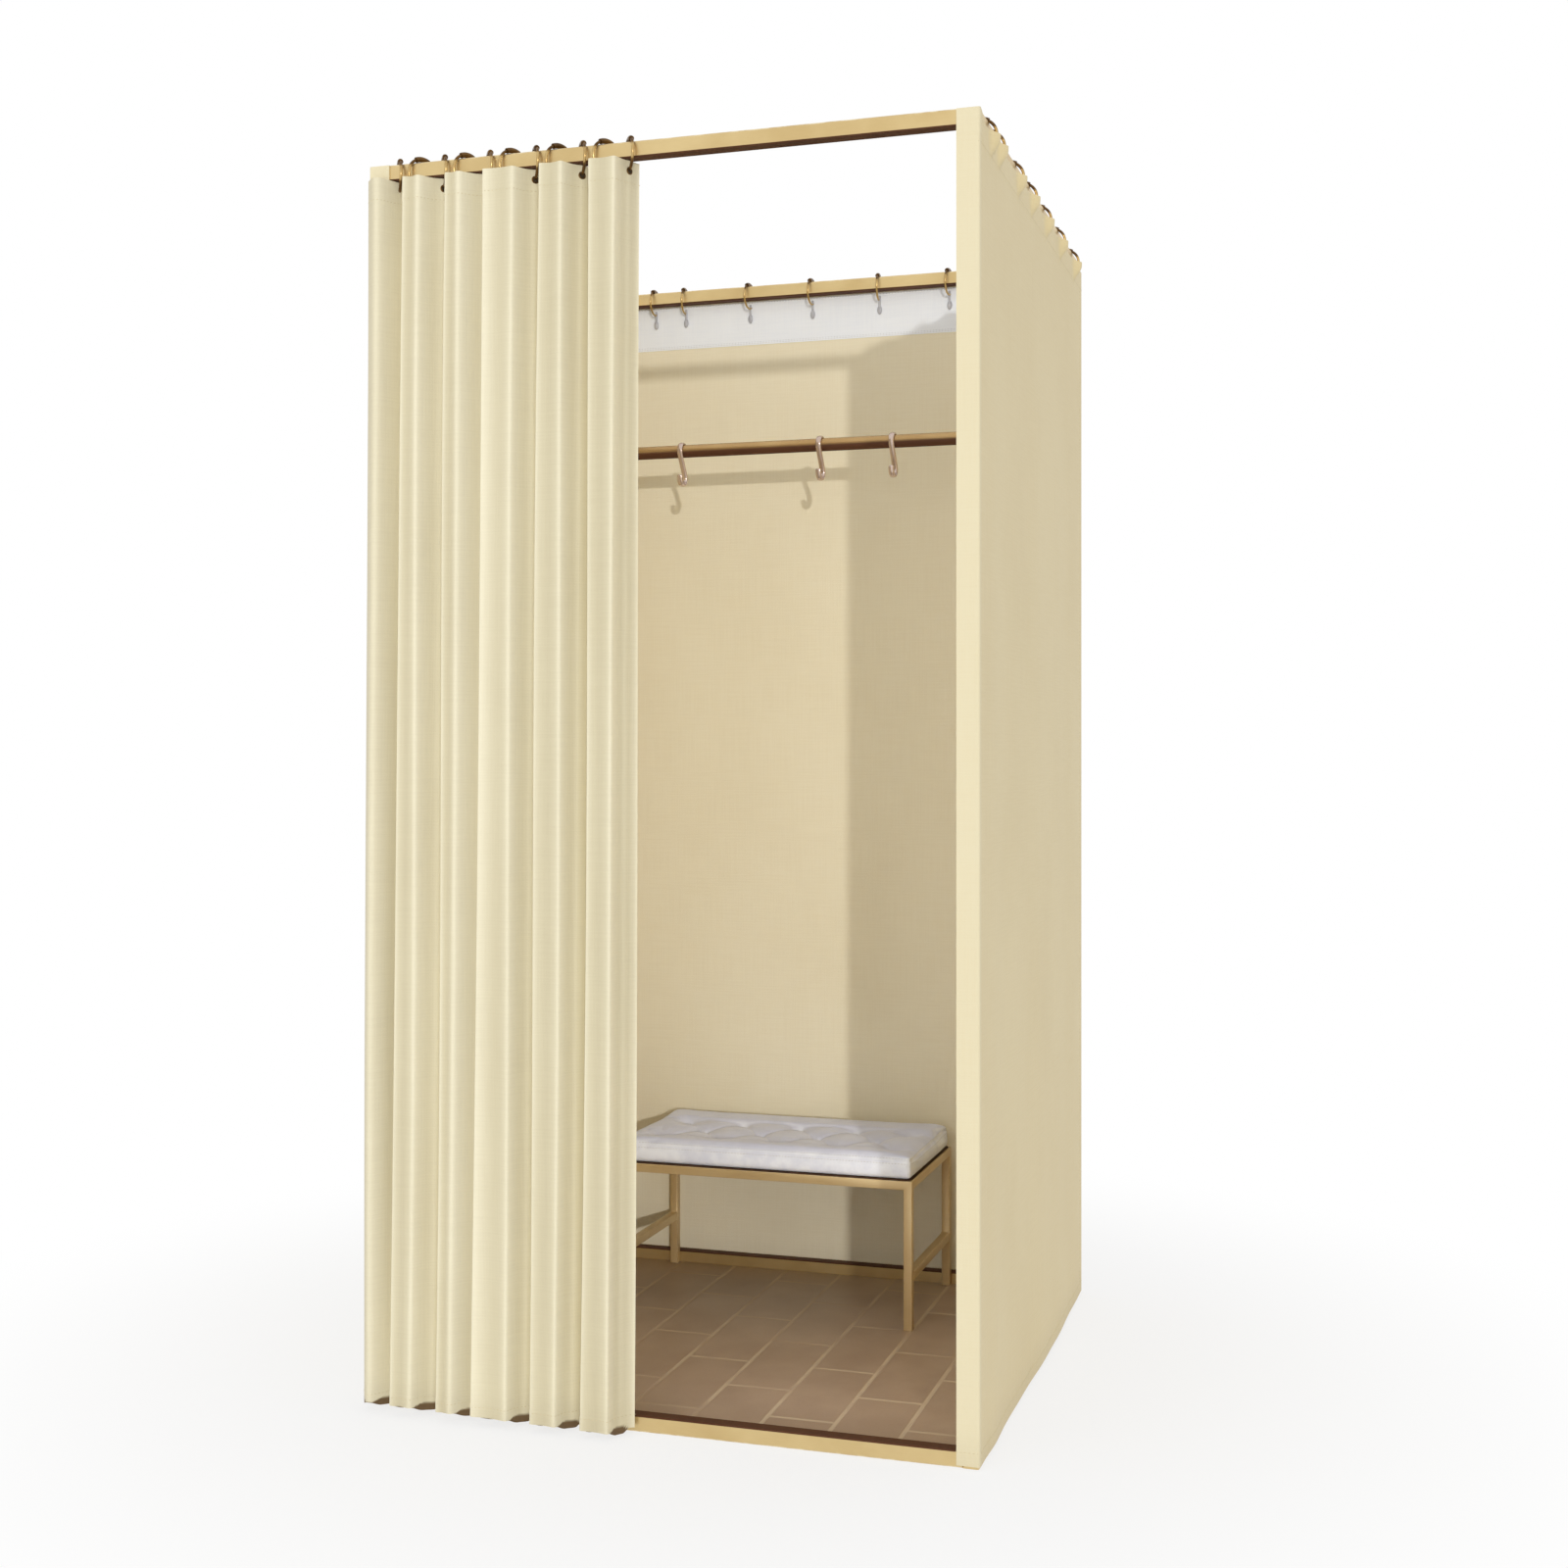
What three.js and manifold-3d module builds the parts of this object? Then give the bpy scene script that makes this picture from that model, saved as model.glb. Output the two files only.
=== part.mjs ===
// Portable fitting room: a knock-down square-tube frame with ring-hung curtains,
// a hanging bar with hooks, a cushioned bench and a floor mat.
// Millimetres, +Z up, the doorway faces -Y, the origin is on the floor at the frame's centre.
import * as THREE from 'three';
import { mergeVertices } from 'three/addons/utils/BufferGeometryUtils.js';
import Module from 'manifold-3d';

const wasm = await Module();
wasm.setup();

// Frame
const frameWidth = 1000;
const frameDepth = 975;
const frameHeight = 2000;
const tubeSize = 25;
const tubeWall = 1.5;
const tubeCorner = 2;
const seatGap = 0.3;
const cutOverrun = 2;

// Curtain rings and cloth
const clothThickness = 1.6;
const clothGap = 0.4;
const ringWire = 3.5;
const ringInnerRadius = 22;
const ringSegments = 16;
const wireSides = 5;
const eyeletRadius = 5;
const eyeletGap = 0.7;
const topGap = 1;
const flatTopDrop = 14;
const flatHemHeight = 4;
const returnWidth = 36;
const headerHeight = 89;
const headerThickness = 0.8;
const sideRingShares = [0.08, 0.143, 0.31, 0.435, 0.583, 0.738, 0.905];
const rearRingShares = [0.119, 0.185, 0.325, 0.458, 0.598, 0.741, 0.881];

// Gathered doorway curtain
const firstRingInset = 45;
const foldPitch = 40;
const foldDepth = 81.5;
const foldRound = 9;
const foldSteps = 4;
const foldSlit = 0.15;
const panelCount = 11;
const ringTurn = THREE.MathUtils.degToRad(33);
const fixedHem = 7.5;
const leadingHem = 22;
const gatheredHemHeight = 10;
const railClearance = 1.5;

// Hanging bar, its arms and the hooks
const barDiameter = 25;
const barDrop = 357;
const barHeight = frameHeight - barDrop;
const barFromRear = 190;
const barSegments = 24;
const barFit = 0.3;
const armThickness = 10;
const armHeight = 24;
const socketLength = 16;
const socketWall = 5;
const hookWire = 5;
const hookFit = 0.6;
const hookLoopRadius = 15;
const hookDrop = 52;
const hookSteps = 44;
const hookSides = 8;
const hookInsets = [246, 529, 673];

// Bench and mat
const matThickness = 3;
const matGap = 0.5;
const benchWidth = 585;
const benchDepth = 330;
const benchLeftInset = 165;
const benchRearGap = 27;
const benchFrameHeight = 274;
const benchTube = 16;
const stretcherHeight = 92;
const cushionHeight = 47;
const cushionInset = 1;
const cushionCrown = 7;
const cushionSideDraw = 4;
const cushionRound = 9;
const tuftDepth = 9;
const tuftRadius = 34;
const tuftColumns = 4;
const tuftRows = 3;

const halfWidth = frameWidth / 2;
const halfDepth = frameDepth / 2;
const halfTube = tubeSize / 2;
const railZ = frameHeight - halfTube;
const ringMidRadius = ringInnerRadius + ringWire / 2;
const flatRingDrop = ringDropAt(0);
const foldRingDrop = ringDropAt(ringTurn);
const barY = halfDepth - barFromRear;

const gold = { color: 0xc9a878, roughness: 0.32, metalness: 0.85 };
const bronze = { color: 0x6b5028, roughness: 0.4, metalness: 0.8 };
const cream = { color: 0xe6dabb, roughness: 0.9, metalness: 0 };
const brown = { color: 0x8f775f, roughness: 0.85, metalness: 0 };
const grey = { color: 0xb9b4b0, roughness: 0.9, metalness: 0 };
const silver = { color: 0xc9beb8, roughness: 0.3, metalness: 0.9 };

const booth = new THREE.Group();

// How far a ring's centre hangs below the rail's centre when the ring, turned by an
// angle about the vertical, rests on the rail's two upper corners.
function ringDropAt(turn) {
  const reach = ringInnerRadius * Math.cos(Math.PI / ringSegments);
  const rise = (half) => {
    const wide = half / Math.cos(turn) + ringWire / 2 * Math.tan(turn);
    return Math.sqrt(reach ** 2 - wide ** 2);
  };
  const high = Math.min(rise(halfTube - tubeCorner), rise(halfTube) + tubeCorner);
  return high - halfTube - seatGap;
}

// Where a hanging ring's wire goes through a sheet that lies a given distance from the
// rail's centre plane, measured down from the rail's centre.
function flatEyeletDrop(reach) {
  const fall = Math.sqrt(ringMidRadius ** 2 - reach ** 2);
  const tilt = Math.atan2(reach, fall);
  const wireHalf = ringWire / 2 / Math.cos(tilt) + clothThickness / 2 * Math.tan(tilt);
  return flatRingDrop + fall + eyeletRadius - wireHalf - eyeletGap;
}

// Keeps only positions and joins equal corners, so that every piece is one closed skin.
function weld(geometry) {
  const bare = geometry.clone();
  bare.deleteAttribute('normal');
  bare.deleteAttribute('uv');
  return mergeVertices(bare);
}

function toSolid(geometry) {
  const welded = weld(geometry);
  return new wasm.Manifold(new wasm.Mesh({
    numProp: 3,
    vertProperties: new Float32Array(welded.attributes.position.array),
    triVerts: new Uint32Array(welded.index.array),
  }));
}

function toGeometry(solid) {
  const mesh = solid.getMesh();
  const geometry = new THREE.BufferGeometry();
  geometry.setAttribute('position', new THREE.BufferAttribute(mesh.vertProperties, 3));
  geometry.setIndex(new THREE.BufferAttribute(mesh.triVerts, 1));
  geometry.computeVertexNormals();
  return geometry;
}

function addPiece(name, geometry, look, parent = booth) {
  const mesh = new THREE.Mesh(geometry, new THREE.MeshStandardMaterial(look));
  mesh.name = name;
  parent.add(mesh);
  return mesh;
}

function boxBetween(low, high) {
  const size = high.map((value, axis) => value - low[axis]);
  const box = new THREE.BoxGeometry(...size);
  return box.translate(...low.map((value, axis) => value + size[axis] / 2));
}

function join(geometries) {
  return geometries.map(toSolid).reduce((sum, solid) => sum.add(solid));
}

// A square outline with cut corners, centred on its axis.
function squarePoints(half, corner) {
  const inner = half - corner;
  return [
    [half, -inner], [half, inner], [inner, half], [-inner, half],
    [-half, inner], [-half, -inner], [-inner, -half], [inner, -half],
  ].map(([x, y]) => new THREE.Vector2(x, y));
}

// A square tube that runs up from z = 0.
function squareTube(length, size = tubeSize) {
  const outline = new THREE.Shape(squarePoints(size / 2, tubeCorner));
  const bore = new THREE.Path(squarePoints(size / 2 - tubeWall, tubeCorner / 2));
  outline.holes.push(bore);
  return new THREE.ExtrudeGeometry(outline, { depth: length, bevelEnabled: false });
}

// Four posts, closed on top and open at the foot.
function addPosts() {
  for (const [side, x] of [['left', -halfWidth + halfTube], ['right', halfWidth - halfTube]]) {
    for (const [end, y] of [['front', -halfDepth + halfTube], ['rear', halfDepth - halfTube]]) {
      const cap = new THREE.ExtrudeGeometry(
        new THREE.Shape(squarePoints(halfTube, tubeCorner)),
        { depth: tubeWall, bevelEnabled: false },
      ).translate(0, 0, frameHeight - tubeWall);
      const post = toGeometry(join([squareTube(frameHeight - tubeWall), cap]));
      addPiece(`post_${end}_${side}`, post, gold).position.set(x, y, 0);
    }
  }
}

// Top and bottom rails between the posts.
function addRails() {
  const across = frameWidth - 2 * tubeSize;
  const along = frameDepth - 2 * tubeSize;
  for (const [level, z] of [['top', railZ], ['bottom', halfTube]]) {
    for (const [end, y] of [['front', -halfDepth + halfTube], ['rear', halfDepth - halfTube]]) {
      const rail = addPiece(`${level}_rail_${end}`, weld(squareTube(across)), gold);
      rail.rotation.y = Math.PI / 2;
      rail.position.set(-across / 2, y, z);
    }
    for (const [side, x] of [['left', -halfWidth + halfTube], ['right', halfWidth - halfTube]]) {
      const rail = addPiece(`${level}_rail_${side}`, weld(squareTube(along)), gold);
      rail.rotation.x = -Math.PI / 2;
      rail.position.set(x, -along / 2, z);
    }
  }
}

// A round wire ring whose hole faces along X.
function ringGeometry() {
  const ring = new THREE.TorusGeometry(ringMidRadius, ringWire / 2, wireSides, ringSegments);
  return weld(ring).rotateY(Math.PI / 2);
}

// A flat sheet of cloth outside the right posts, from the front to the rear, with a
// narrow return across the front post.
function sideSheet() {
  const inner = halfWidth + clothGap;
  const outer = inner + clothThickness;
  const front = -halfDepth - clothGap - clothThickness;
  const flat = boxBetween(
    [inner, front, flatHemHeight],
    [outer, halfDepth, frameHeight - flatTopDrop],
  );
  const wrap = boxBetween(
    [outer - returnWidth, front, flatHemHeight],
    [outer, front + clothThickness, frameHeight],
  );
  return join([flat, wrap]);
}

// The right curtain has eyelets and loose rings. The left one is its mirror image, in
// one piece with its rings.
function addSideCurtains() {
  const ringYs = sideRingShares.map((share) => (share - 1 / 2) * frameDepth);
  const railX = halfWidth - halfTube;
  const sheetX = halfWidth + clothGap + clothThickness / 2;
  const eyeletZ = railZ - flatEyeletDrop(sheetX - railX);
  let right = sideSheet();
  let left = sideSheet();
  ringYs.forEach((y, index) => {
    const hole = new THREE.CylinderGeometry(eyeletRadius, eyeletRadius, clothThickness + cutOverrun, 12);
    right = right.subtract(toSolid(hole.rotateZ(Math.PI / 2).translate(sheetX, y, eyeletZ)));
    const ring = ringGeometry().rotateZ(Math.PI / 2).translate(railX, y, railZ - flatRingDrop);
    left = left.add(toSolid(ring));
    addPiece(`side_ring_${index + 1}`, ring, bronze);
  });
  addPiece('side_curtain_right', toGeometry(right), cream);
  addPiece('side_curtain_left', toGeometry(left.mirror([1, 0, 0])), cream);
}

// The rear sheet, with its header tape on the inner face below the rail.
function addRearCurtain() {
  const inner = halfDepth + clothGap;
  const outer = inner + clothThickness;
  const eyeletZ = railZ - flatEyeletDrop((inner + outer) / 2 - (halfDepth - halfTube));
  const sheet = boxBetween(
    [-halfWidth, inner, flatHemHeight],
    [halfWidth, outer, frameHeight - flatTopDrop],
  );
  const tapeTop = frameHeight - tubeSize - topGap;
  const tapeHalf = halfWidth - tubeSize - topGap;
  const tape = boxBetween(
    [-tapeHalf, inner - headerThickness, tapeTop - headerHeight],
    [tapeHalf, inner + clothThickness / 2, tapeTop],
  );
  const ringXs = rearRingShares.map((share) => (share - 1 / 2) * frameWidth);
  const curtain = ringXs.reduce((solid, x) => {
    const length = clothThickness + 2 * headerThickness + cutOverrun;
    const hole = new THREE.CylinderGeometry(eyeletRadius, eyeletRadius, length, 12);
    return solid.subtract(toSolid(hole.translate(x, (inner + outer) / 2, eyeletZ)));
  }, join([sheet, tape]));
  addPiece('rear_curtain', toGeometry(curtain), cream);
  ringXs.forEach((x, index) => {
    const ring = addPiece(`rear_ring_${index + 1}`, ringGeometry(), bronze);
    ring.position.set(x, halfDepth - halfTube, railZ - flatRingDrop);
  });
}

// The middle line of one fold from a front crest at (0, 0) to a rear trough at
// (foldPitch, foldDepth): an arc, a straight flank and an arc back.
function foldLine() {
  const rise = foldDepth - clothThickness - 2 * foldRound;
  const slope = Math.atan2(rise, foldPitch) + Math.asin(2 * foldRound / Math.hypot(rise, foldPitch));
  const line = [];
  for (let step = 0; step <= foldSteps; step += 1) {
    const angle = slope * step / foldSteps;
    const x = foldRound * Math.sin(angle);
    const y = clothThickness / 2 + foldRound * (1 - Math.cos(angle));
    line.push({ x, y, angle });
  }
  const back = [...line].reverse().map(({ x, y, angle }) => ({ x: foldPitch - x, y: foldDepth - y, angle }));
  line[0] = { ...line[0], x: foldSlit };
  back[back.length - 1] = { ...back[back.length - 1], x: foldPitch - foldSlit };
  return { crest: line, trough: back, slope };
}

// Points of a closed strip round a middle line, half the cloth thickness to each side.
function stripShape(line) {
  const half = clothThickness / 2;
  const side = (sign) => line.map(({ x, y, angle }) => new THREE.Vector2(
    x + sign * half * Math.sin(angle),
    y - sign * half * Math.cos(angle),
  ));
  return new THREE.Shape([...side(1), ...side(-1).reverse()]);
}

// One fold panel about its ring, standing below the ring's centre, with its eyelet.
function foldPanel(index, length, top) {
  const { crest, trough, slope } = foldLine();
  const middle = (reach) => ({
    x: foldPitch / 2 + reach * Math.cos(slope),
    y: foldDepth / 2 + reach * Math.sin(slope),
    angle: slope,
  });
  let line = [...crest, ...trough];
  if (index === 0) {
    line = [middle(-fixedHem), ...trough];
  }
  if (index === panelCount - 1) {
    line = [...crest, middle(leadingHem)];
  }
  const strip = new THREE.ExtrudeGeometry(stripShape(line), { depth: length, bevelEnabled: false });
  strip.translate(-foldPitch / 2, -foldDepth / 2, top - length);
  const eyeletZ = -foldRingDrop - ringInnerRadius + eyeletGap - eyeletRadius;
  const hole = new THREE.CylinderGeometry(eyeletRadius, eyeletRadius, clothThickness + cutOverrun, 12);
  hole.rotateZ(slope).translate(0, 0, eyeletZ);
  const panel = toSolid(strip).subtract(toSolid(hole));
  return toGeometry(index % 2 === 0 ? panel : panel.mirror([0, 1, 0]));
}

// The doorway curtain, gathered at the left. It leans forward from the top rail so
// that its folds hang in front of the bottom rail.
function addFrontCurtain() {
  const drop = railZ - tubeSize;
  const lean = Math.asin((halfTube + foldDepth / 2 + railClearance) / drop);
  const hang = new THREE.Group();
  hang.position.set(-halfWidth + firstRingInset, -halfDepth + halfTube, railZ);
  hang.rotation.x = -lean;
  booth.add(hang);
  const top = -halfTube - topGap;
  const length = railZ / Math.cos(lean) + top - gatheredHemHeight;
  for (let index = 0; index < panelCount; index += 1) {
    const x = index * foldPitch;
    const number = String(index).padStart(2, '0');
    addPiece(`front_panel_${number}`, foldPanel(index, length, top), cream, hang).position.x = x;
    const ring = addPiece(`front_ring_${number}`, ringGeometry(), bronze, hang);
    ring.rotation.z = index % 2 === 0 ? ringTurn : -ringTurn;
    ring.position.set(x, 0, -foldRingDrop);
  }
}

// The round bar and the two arms that carry it from the rear posts.
function addHangingBar() {
  const barRadius = barDiameter / 2;
  const armX = halfWidth - halfTube;
  const barLength = 2 * armX + socketLength - 2 * tubeWall;
  const bar = new THREE.CylinderGeometry(barRadius, barRadius, barLength, barSegments);
  addPiece('hanging_bar', weld(bar.rotateZ(Math.PI / 2)), gold).position.set(0, barY, barHeight);
  const arm = boxBetween(
    [-armThickness / 2, 0, -armHeight / 2],
    [armThickness / 2, barFromRear - tubeSize - seatGap, armHeight / 2],
  );
  const outer = barRadius + barFit + socketWall;
  const socket = new THREE.CylinderGeometry(outer, outer, socketLength, barSegments);
  const bore = new THREE.CylinderGeometry(barRadius + barFit, barRadius + barFit, socketLength + cutOverrun, barSegments);
  const bracket = join([arm, socket.rotateZ(Math.PI / 2)]).subtract(toSolid(bore.rotateZ(Math.PI / 2)));
  for (const [side, x] of [['left', -armX], ['right', armX]]) {
    addPiece(`bar_arm_${side}`, toGeometry(bracket), gold).position.set(x, barY, barHeight);
  }
}

// The path of an S-shaped hook in the plane across the bar, with the bar's centre at zero.
function hookPath() {
  const upper = barDiameter / 2 + hookFit + hookWire / 2;
  const lowerZ = -hookDrop;
  const arc = (radius, centreZ, from, to, steps) => Array.from({ length: steps + 1 }, (_, step) => {
    const angle = THREE.MathUtils.degToRad(from + (to - from) * step / steps);
    return new THREE.Vector3(0, radius * Math.cos(angle), centreZ + radius * Math.sin(angle));
  });
  const points = [
    ...arc(upper, 0, -25, 205, 12),
    ...arc(hookLoopRadius, lowerZ, 25, -190, 10),
  ];
  return new THREE.CatmullRomCurve3(points, false, 'centripetal');
}

function addHooks() {
  const section = new THREE.Shape(Array.from({ length: hookSides }, (_, side) => {
    const angle = 2 * Math.PI * side / hookSides;
    return new THREE.Vector2(hookWire / 2 * Math.cos(angle), hookWire / 2 * Math.sin(angle));
  }));
  hookInsets.forEach((inset, index) => {
    const hook = new THREE.ExtrudeGeometry(section, { steps: hookSteps, extrudePath: hookPath() });
    addPiece(`s_hook_${index + 1}`, weld(hook), silver).position.set(inset - halfWidth, barY, barHeight);
  });
}

function addMat() {
  const halfX = halfWidth - tubeSize - matGap;
  const halfY = halfDepth - tubeSize - matGap;
  addPiece('floor_mat', boxBetween([-halfX, -halfY, 0], [halfX, halfY, matThickness]), brown);
}

// The welded bench frame: four legs, a ring of aprons and a low stretcher at each end.
function benchFrame() {
  const pieces = [];
  const farX = benchWidth - benchTube;
  const farY = benchDepth - benchTube;
  for (const x of [0, farX]) {
    for (const y of [0, farY]) {
      pieces.push(boxBetween([x, y, matThickness], [x + benchTube, y + benchTube, benchFrameHeight]));
    }
    for (const z of [stretcherHeight, benchFrameHeight - benchTube]) {
      pieces.push(boxBetween([x, 0, z], [x + benchTube, benchDepth, z + benchTube]));
    }
  }
  for (const y of [0, farY]) {
    const z = benchFrameHeight - benchTube;
    pieces.push(boxBetween([0, y, z], [benchWidth, y + benchTube, benchFrameHeight]));
  }
  return toGeometry(join(pieces));
}

// The seat cushion: crowned top with sewn tufts, drawn-in sides and rounded edges.
function cushionGeometry() {
  const width = benchWidth - 2 * cushionInset;
  const depth = benchDepth - 2 * cushionInset;
  const box = new THREE.BoxGeometry(width, depth, cushionHeight, 26, 16, 4);
  const cushion = weld(box);
  const place = cushion.attributes.position;
  for (let index = 0; index < place.count; index += 1) {
    const u = place.getX(index) / (width / 2);
    const v = place.getY(index) / (depth / 2);
    const w = place.getZ(index) / (cushionHeight / 2);
    const edge = Math.max(Math.abs(u), Math.abs(v));
    const draw = cushionRound * Math.max(0, w) ** 3 + cushionSideDraw * (1 - w * w);
    let x = place.getX(index) - u * Math.abs(u) ** 7 * draw;
    let y = place.getY(index) - v * Math.abs(v) ** 7 * draw;
    let z = place.getZ(index) + cushionHeight / 2;
    if (w > 0) {
      z -= w * (cushionCrown * (u * u + v * v) / 2 + cushionCrown / 2 * edge ** 8);
      for (let column = 0; column < tuftColumns; column += 1) {
        for (let row = 0; row < tuftRows; row += 1) {
          const tuftX = ((column + 1 / 2) / tuftColumns - 1 / 2) * width;
          const tuftY = ((row + 1 / 2) / tuftRows - 1 / 2) * depth;
          const away = Math.hypot(x - tuftX, y - tuftY) / tuftRadius;
          z -= w * tuftDepth * Math.exp(-2 * away * away);
        }
      }
    }
    place.setXYZ(index, x, y, z);
  }
  return cushion;
}

function addBench() {
  const bench = new THREE.Group();
  bench.position.set(-halfWidth + benchLeftInset, halfDepth - benchRearGap - benchDepth, 0);
  booth.add(bench);
  addPiece('bench_frame', benchFrame(), gold, bench);
  const cushion = addPiece('bench_cushion', cushionGeometry(), grey, bench);
  cushion.position.set(benchWidth / 2, benchDepth / 2, benchFrameHeight);
}

addPosts();
addRails();
addSideCurtains();
addRearCurtain();
addFrontCurtain();
addHangingBar();
addHooks();
addMat();
addBench();

export default booth;
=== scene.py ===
# %% [markdown]
# # A portable fitting room
#
# Shops set up a booth like this where they have no built-in changing room. A frame of
# square tube carries curtains on rings. Inside are a bar with hooks, a tufted bench and
# a mat. This lesson dresses the measured solids of such a booth with cloth, metal and
# stitching. The solids are loaded first, and every piece takes its place from them.

import math

import bmesh
import bpy
import numpy as np
from mathutils import Matrix, Vector


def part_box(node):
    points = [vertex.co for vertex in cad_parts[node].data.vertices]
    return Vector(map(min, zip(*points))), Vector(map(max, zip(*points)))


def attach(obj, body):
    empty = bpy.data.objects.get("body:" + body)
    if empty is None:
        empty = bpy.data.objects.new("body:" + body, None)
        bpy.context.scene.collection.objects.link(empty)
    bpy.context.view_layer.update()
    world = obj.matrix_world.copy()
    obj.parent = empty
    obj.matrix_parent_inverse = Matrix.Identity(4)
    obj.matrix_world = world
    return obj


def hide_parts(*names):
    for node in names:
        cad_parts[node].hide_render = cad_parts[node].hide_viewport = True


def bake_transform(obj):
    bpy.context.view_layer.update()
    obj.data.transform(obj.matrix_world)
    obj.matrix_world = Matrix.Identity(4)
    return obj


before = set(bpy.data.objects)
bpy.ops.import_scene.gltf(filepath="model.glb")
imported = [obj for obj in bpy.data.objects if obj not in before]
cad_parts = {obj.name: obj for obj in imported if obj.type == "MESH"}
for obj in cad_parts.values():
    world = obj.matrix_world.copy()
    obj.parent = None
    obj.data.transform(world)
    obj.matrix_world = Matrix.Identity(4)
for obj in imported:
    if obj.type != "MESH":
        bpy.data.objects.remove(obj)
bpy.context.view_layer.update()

# %% [markdown]
# ## Camera
#
# The picture was taken level, from about 2.8 m in front of the doorway and a metre to the
# right. A level camera keeps all posts upright, and a small shift puts the horizon where
# the photographer had it, so no tilt is needed.

# %% Place the camera
scene = bpy.context.scene
camera = bpy.data.objects.new("camera", bpy.data.cameras.new("camera"))
scene.collection.objects.link(camera)
camera.location = (1.0743, -3.2875, 1.0572)
camera.rotation_euler = (math.radians(90), 0, 0.3025)
camera.data.sensor_width = 36
camera.data.lens = 44.53
camera.data.shift_y = -0.0222
camera.data.clip_end = 100
scene.camera = camera
scene.view_settings.view_transform = "Standard"
print("lens", camera.data.lens, "mm")

# %% [markdown]
# ## Writing node trees as expressions
#
# A shader that is wired by hand is hard to read. Two small classes help. Graph adds one
# node from its type, its settings and the values of its sockets. Num wraps a number that
# changes over a surface, and Python's own operators on it add the Math nodes.


# %% Graph and Num
class Graph:
    """A node tree that is written one node at a time."""

    def __init__(self, tree):
        self.tree = tree

    def feed(self, socket, value):
        source = value.socket if isinstance(value, Num) else value
        if isinstance(source, bpy.types.NodeSocket):
            self.tree.links.new(source, socket)
        else:
            socket.default_value = source

    def node(self, kind, settings=None, inputs=None):
        made = self.tree.nodes.new(kind)
        for key, value in (settings or {}).items():
            setattr(made, key, value)
        for key, value in (inputs or {}).items():
            self.feed(made.inputs[key], value)
        return made

    def num(self, kind, output=0, settings=None, inputs=None):
        return Num(self, self.node(kind, settings, inputs).outputs[output])


class Num:
    """A number that changes over a surface."""

    def __init__(self, graph, socket):
        self.graph, self.socket = graph, socket

    def calc(self, operation, *terms):
        return self.graph.num("ShaderNodeMath", 0, {"operation": operation}, dict(enumerate(terms)))

    def __add__(self, other):
        return self.calc("ADD", self, other)

    __radd__ = __add__

    def __mul__(self, other):
        return self.calc("MULTIPLY", self, other)

    __rmul__ = __mul__

    def __sub__(self, other):
        return self.calc("SUBTRACT", self, other)

    def __rsub__(self, other):
        return self.calc("SUBTRACT", other, self)

    def sine(self):
        return self.calc("SINE", self)

    def most(self, other):
        return self.calc("MAXIMUM", self, other)

    def ramp(self, low, high):
        """0 below low and 1 above high, with a soft step between."""
        inputs = {"Value": self, "From Min": low, "From Max": high}
        return self.graph.num("ShaderNodeMapRange", 0, {"interpolation_type": "SMOOTHSTEP"}, inputs)


# %% [markdown]
# ## Materials
#
# Paint is a Graph for one material. It knows where a point is, either on the piece or on
# the flat cloth, and it mixes colours. Colours are written as a screen shows them, a
# little brighter than in the picture, because light takes some away.


# %% The Paint helper
class Paint(Graph):
    """One material, from its name to its finished surface."""

    def __init__(self, name):
        self.material = bpy.data.materials.new(name)
        self.material.use_nodes = True
        super().__init__(self.material.node_tree)
        self.tree.nodes.clear()
        self.place = self.node("ShaderNodeTexCoord").outputs

    def split(self, vector):
        parts = self.node("ShaderNodeSeparateXYZ", None, {0: vector}).outputs
        return [Num(self, part) for part in parts]

    def stretch(self, vector, factors):
        inputs = {0: vector, 1: factors}
        return self.node("ShaderNodeVectorMath", {"operation": "MULTIPLY"}, inputs).outputs[0]

    def noise(self, vector, scale, detail=2.0):
        inputs = {"Vector": vector, "Scale": scale, "Detail": detail}
        return self.num("ShaderNodeTexNoise", "Fac", None, inputs)

    def mixed(self, share, first, second):
        inputs = {0: share, 6: first, 7: second}
        return self.node("ShaderNodeMix", {"data_type": "RGBA"}, inputs).outputs[2]

    def bumped(self, height, distance, strength=1.0):
        inputs = {"Height": height, "Distance": distance, "Strength": strength}
        return self.node("ShaderNodeBump", None, inputs).outputs[0]

    def finish(self, **sockets):
        surface = self.node("ShaderNodeBsdfPrincipled")
        for name, value in sockets.items():
            self.feed(surface.inputs[name.replace("_", " ")], value)
        self.node("ShaderNodeOutputMaterial", None, {0: surface.outputs[0]})
        return self.material


def shade(red, green, blue):
    """A colour as a screen shows it, from 0 to 255, turned into light."""
    parts = [value / 255 for value in (red, green, blue)]
    return [*[((v + 0.055) / 1.055) ** 2.4 if v > 0.04 else v / 12.92 for v in parts], 1.0]
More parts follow.
